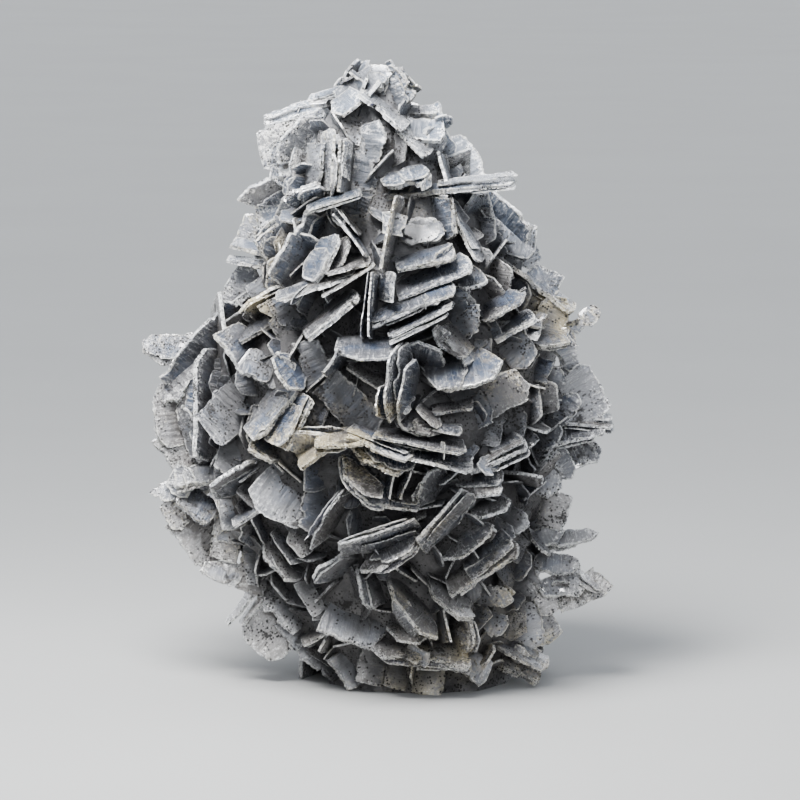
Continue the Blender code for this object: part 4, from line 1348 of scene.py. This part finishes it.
def small_growth(kinds):
    """Scatters the small plates over the mesh that it is given, their rims along its normals."""
    growth = Growth("small blades")
    tree = growth.tree
    tree.interface.new_socket("Geometry", in_out="OUTPUT", socket_type="NodeSocketGeometry")
    for name, kind in (("Root", "Geometry"), ("Spacing", "Float"), ("Seed", "Int")):
        tree.interface.new_socket(name, in_out="INPUT", socket_type="NodeSocket" + kind)
    given = tree.nodes.new("NodeGroupInput").outputs
    points = growth.node(
        "GeometryNodeDistributePointsOnFaces",
        {"distribute_method": "POISSON"},
        Mesh=given["Root"],
        Distance_Min=given["Spacing"],
        Seed=given["Seed"],
        Density_Max=SMALL_TRIES,
        Selection=growth.read("here"),
    )
    outwards = points.node.outputs["Normal"]
    upright = growth.node("FunctionNodeAlignRotationToVector", {"axis": "Y"}, Vector=outwards)
    tilt = math.radians(SMALL_TILT)
    spin = growth.random("FLOAT_VECTOR", (-tilt, 0, -tilt), (tilt, math.tau, tilt), SPIN_SEED)
    settings = {"rotation_space": "LOCAL"}
    turned = growth.node("FunctionNodeRotateRotation", settings, Rotation=upright, Rotate_By=spin)
    grown = growth.random("FLOAT", *SMALL_SCALE, SCALE_SEED)
    plates = growth.node(
        "GeometryNodeInstanceOnPoints",
        {},
        Points=points,
        Instance=growth.node(
            "GeometryNodeCollectionInfo", {}, Collection=kinds, Separate_Children=True
        ),
        Pick_Instance=True,
        Rotation=turned,
        Scale=growth.times(growth.read("room"), grown),
    )
    toned = growth.node(
        "GeometryNodeStoreNamedAttribute",
        {"data_type": "FLOAT", "domain": "INSTANCE"},
        Geometry=plates,
        Name="tone",
        Value=growth.random("FLOAT", 0.0, 1.0, TONE_SEED),
    )
    solid = growth.node("GeometryNodeRealizeInstances", {}, Geometry=toned)
    done = growth.node("GeometryNodeSetMaterial", {}, Geometry=solid, Material=BARITE)
    tree.links.new(done, tree.nodes.new("NodeGroupOutput").inputs[0])
    return tree


def room_over(places, normals, blades):
    """How much room there is over the root mass before a large blade, as a share of full size."""
    behind, in_front = MOST_SHARE
    found = []
    for place, normal in zip(places, normals):
        way = Vector(normal)
        met = blades.ray_cast(Vector(place) + way * ROOM_FROM, way, ROOM)[3]
        most = behind if normal[1] < FRONTWARD else in_front
        found.append(most if met is None else min(most, LEAST_SHARE + met / ROOM))
    return np.array(found)


def small_kinds():
    """A few small blades, each at the origin, for the growth to pick from."""
    rng = np.random.default_rng(SMALL_SEED)
    kinds = bpy.data.collections.new("small blade kinds")
    flat = (Vector((1, 0, 0)), Vector((0, 1, 0)), Vector((0, 0, 1)))
    for number in range(SMALL_KINDS):
        sizes = [rng.uniform(*span) for span in (SMALL_LENGTH, SMALL_WIDTH, SMALL_THICK)]
        blade = (Vector((0, 0, 0)), flat, sizes, rng.choice(tuple(OUTLINES)))
        place, quads, fans, values = blade_shell(rng, blade, SMALL_STEP, ())
        del values["tone"], values["depth"]
        mesh = one_mesh(f"small_{number}", [(place, quads, fans, values)])
        kinds.objects.link(bpy.data.objects.new(mesh.name, mesh))
    return kinds


def small_bed(side):
    """The root mass's skin with what the growth reads: where blades grow, and how large."""
    bed = bpy.data.objects["root_mass"].data.copy()
    places = points_of(bed)
    normals = np.array([corner.normal for corner in bed.vertices])
    large = [o.data for o in bpy.context.scene.objects if o.name.startswith("blades_")]
    firsts = np.cumsum([0] + [len(mesh.vertices) for mesh in large])
    faces = []
    for mesh, first in zip(large, firsts):
        faces += [[i + first for i in face.vertices] for face in mesh.polygons]
    points = np.concatenate([points_of(mesh) for mesh in large])
    blades = BVHTree.FromPolygons(points.tolist(), faces)
    set_values(bed, "room", room_over(places, normals, blades))
    between = (places[:, 2] > SMALL_FROM) * (places[:, 2] < SMALL_TO)
    set_values(bed, "here", (normals[:, 1] * side > 0) * between)
    return bed


def small_blades(name, side):
    """The small blades of the front, side -1, or of the back, side 1, as one plain mesh."""
    kinds = small_kinds()
    bed = bpy.data.objects.new("bed", small_bed(side))
    bpy.context.scene.collection.objects.link(bed)
    grow = bed.modifiers.new("small blades", "NODES")
    grow.node_group = small_growth(kinds)
    items = grow.node_group.interface.items_tree
    sockets = {item.name: item.identifier for item in items if item.in_out == "INPUT"}
    grow[sockets["Spacing"]] = SMALL_SPACING[side > 0] * MM
    grow[sockets["Seed"]] = SMALL_SEED + side
    evaluated = bed.evaluated_get(bpy.context.evaluated_depsgraph_get())
    mesh = bpy.data.meshes.new_from_object(evaluated)
    for helper in (bed, *kinds.objects):
        bpy.data.objects.remove(helper)
    bpy.data.collections.remove(kinds)
    mesh.name = name
    set_values(mesh, "depth", off_the_root(points_of(mesh)))
    cut_mesh(mesh)
    return mesh


for name, side in (("small_blades_front", -1), ("small_blades_back", 1)):
    piece_of(small_blades(name, side), name)

# The plain pale floor that the cluster stands on. It is matt board, and runs on behind as far as
# the camera sees.
FLOOR_HALF = 12.0
BOARD_COLOURS = ((0.31, 0.31, 0.305, 1), (0.34, 0.34, 0.335, 1))
BOARD_CLOUDS = 6.0
BOARD_GRAIN = 900.0
BOARD_RELIEF = 0.0002


def board():
    """Matt board, a little cloudy, with a fine grain."""
    look = Shading("pale board")
    place = look.node("TexCoord", {}).out("Object")
    colour = look.mix(look.noise(place, BOARD_CLOUDS), *BOARD_COLOURS)
    look.connect(colour, look.shader.inputs["Base Color"])
    grain = look.bump(look.noise(place, BOARD_GRAIN, 2.0), BOARD_RELIEF, 0.3)
    look.connect(grain, look.shader.inputs["Normal"])
    look.set(Roughness=0.85)
    return look.material


corners = [(x * FLOOR_HALF, y * FLOOR_HALF, 0) for x, y in ((-1, -1), (1, -1), (1, 1), (-1, 1))]
floor_mesh = bpy.data.meshes.new("floor")
floor_mesh.from_pydata(corners, [], [(0, 1, 2, 3)])
floor_mesh.materials.append(board())
floor = bpy.data.objects.new("floor", floor_mesh)
bpy.context.scene.collection.objects.link(floor)

# The light: a large soft lamp far above the front left, weak wide ones from the front and from
# behind, a small one over the peak, and a dim room. Each wide lamp has its direction, the angle
# that it spreads over, its strength and its colour. The small one's place is in metres.
SUNS = (
    ("key", (-0.46, -0.42, 1.0), 14.0, 1.5, (1.0, 0.99, 0.97)),
    ("fill", (0.10, -1.0, 0.18), 60.0, 2.0, (0.95, 0.97, 1.0)),
    ("back_right", (0.80, 0.60, 0.40), 70.0, 1.2, (0.95, 0.97, 1.0)),
    ("back_left", (-0.60, 0.80, 0.40), 70.0, 1.3, (0.95, 0.97, 1.0)),
)
TOP_PLACE = Vector((-0.09, -0.16, 0.40))
TOP_SIZE = 0.20
TOP_POWER = 4.0
ROOM_LIGHT = (0.80, 0.86, 0.95, 1)
ROOM_STRENGTH = (0.46, 0.80)
ROOM_RISE = (-0.1, 1.0)


def aimed(name, data, place, toward):
    """Puts a lamp or a camera in the scene, pointed a certain way."""
    made = bpy.data.objects.new(name, data)
    made.location = place
    made.rotation_euler = toward.to_track_quat("-Z", "Y").to_euler()
    bpy.context.scene.collection.objects.link(made)
    return made


for name, way, spread, power, colour in SUNS:
    lamp = bpy.data.lights.new(name, "SUN")
    lamp.angle = math.radians(spread)
    lamp.energy = power
    lamp.color = colour
    aimed(name, lamp, (0, 0, 0), -Vector(way))
lamp = bpy.data.lights.new("top", "AREA")
lamp.shape = "DISK"
lamp.size = TOP_SIZE
lamp.energy = TOP_POWER
aimed("top", lamp, TOP_PLACE, AIM * MM - TOP_PLACE)
room = Shading("room", bpy.data.worlds, "Background")
rise = room.node("SeparateXYZ", {}, room.node("TexCoord", {}).out("Generated")).out("Z")
dim, bright = ROOM_STRENGTH
strength = rise.ramp(*ROOM_RISE) * (bright - dim) + dim
room.connect(strength, room.shader.inputs["Strength"])
room.set(Color=ROOM_LIGHT)
bpy.context.scene.world = room.material
bpy.context.scene.view_settings.look = "AgX - Medium High Contrast"

# The camera, level with the upper half of the cluster and a little above it. It has a long lens
# and stands where the photo was taken from.
FOCAL_LENGTH = 180.0
SENSOR = 36.0
backwards = sight_axes()[2]
lens = bpy.data.cameras.new("camera")
lens.lens = FOCAL_LENGTH
lens.sensor_width = SENSOR
camera = aimed("camera", lens, (AIM + backwards * EYE_DISTANCE) * MM, -backwards)
bpy.context.scene.camera = camera

bpy.context.view_layer.update()
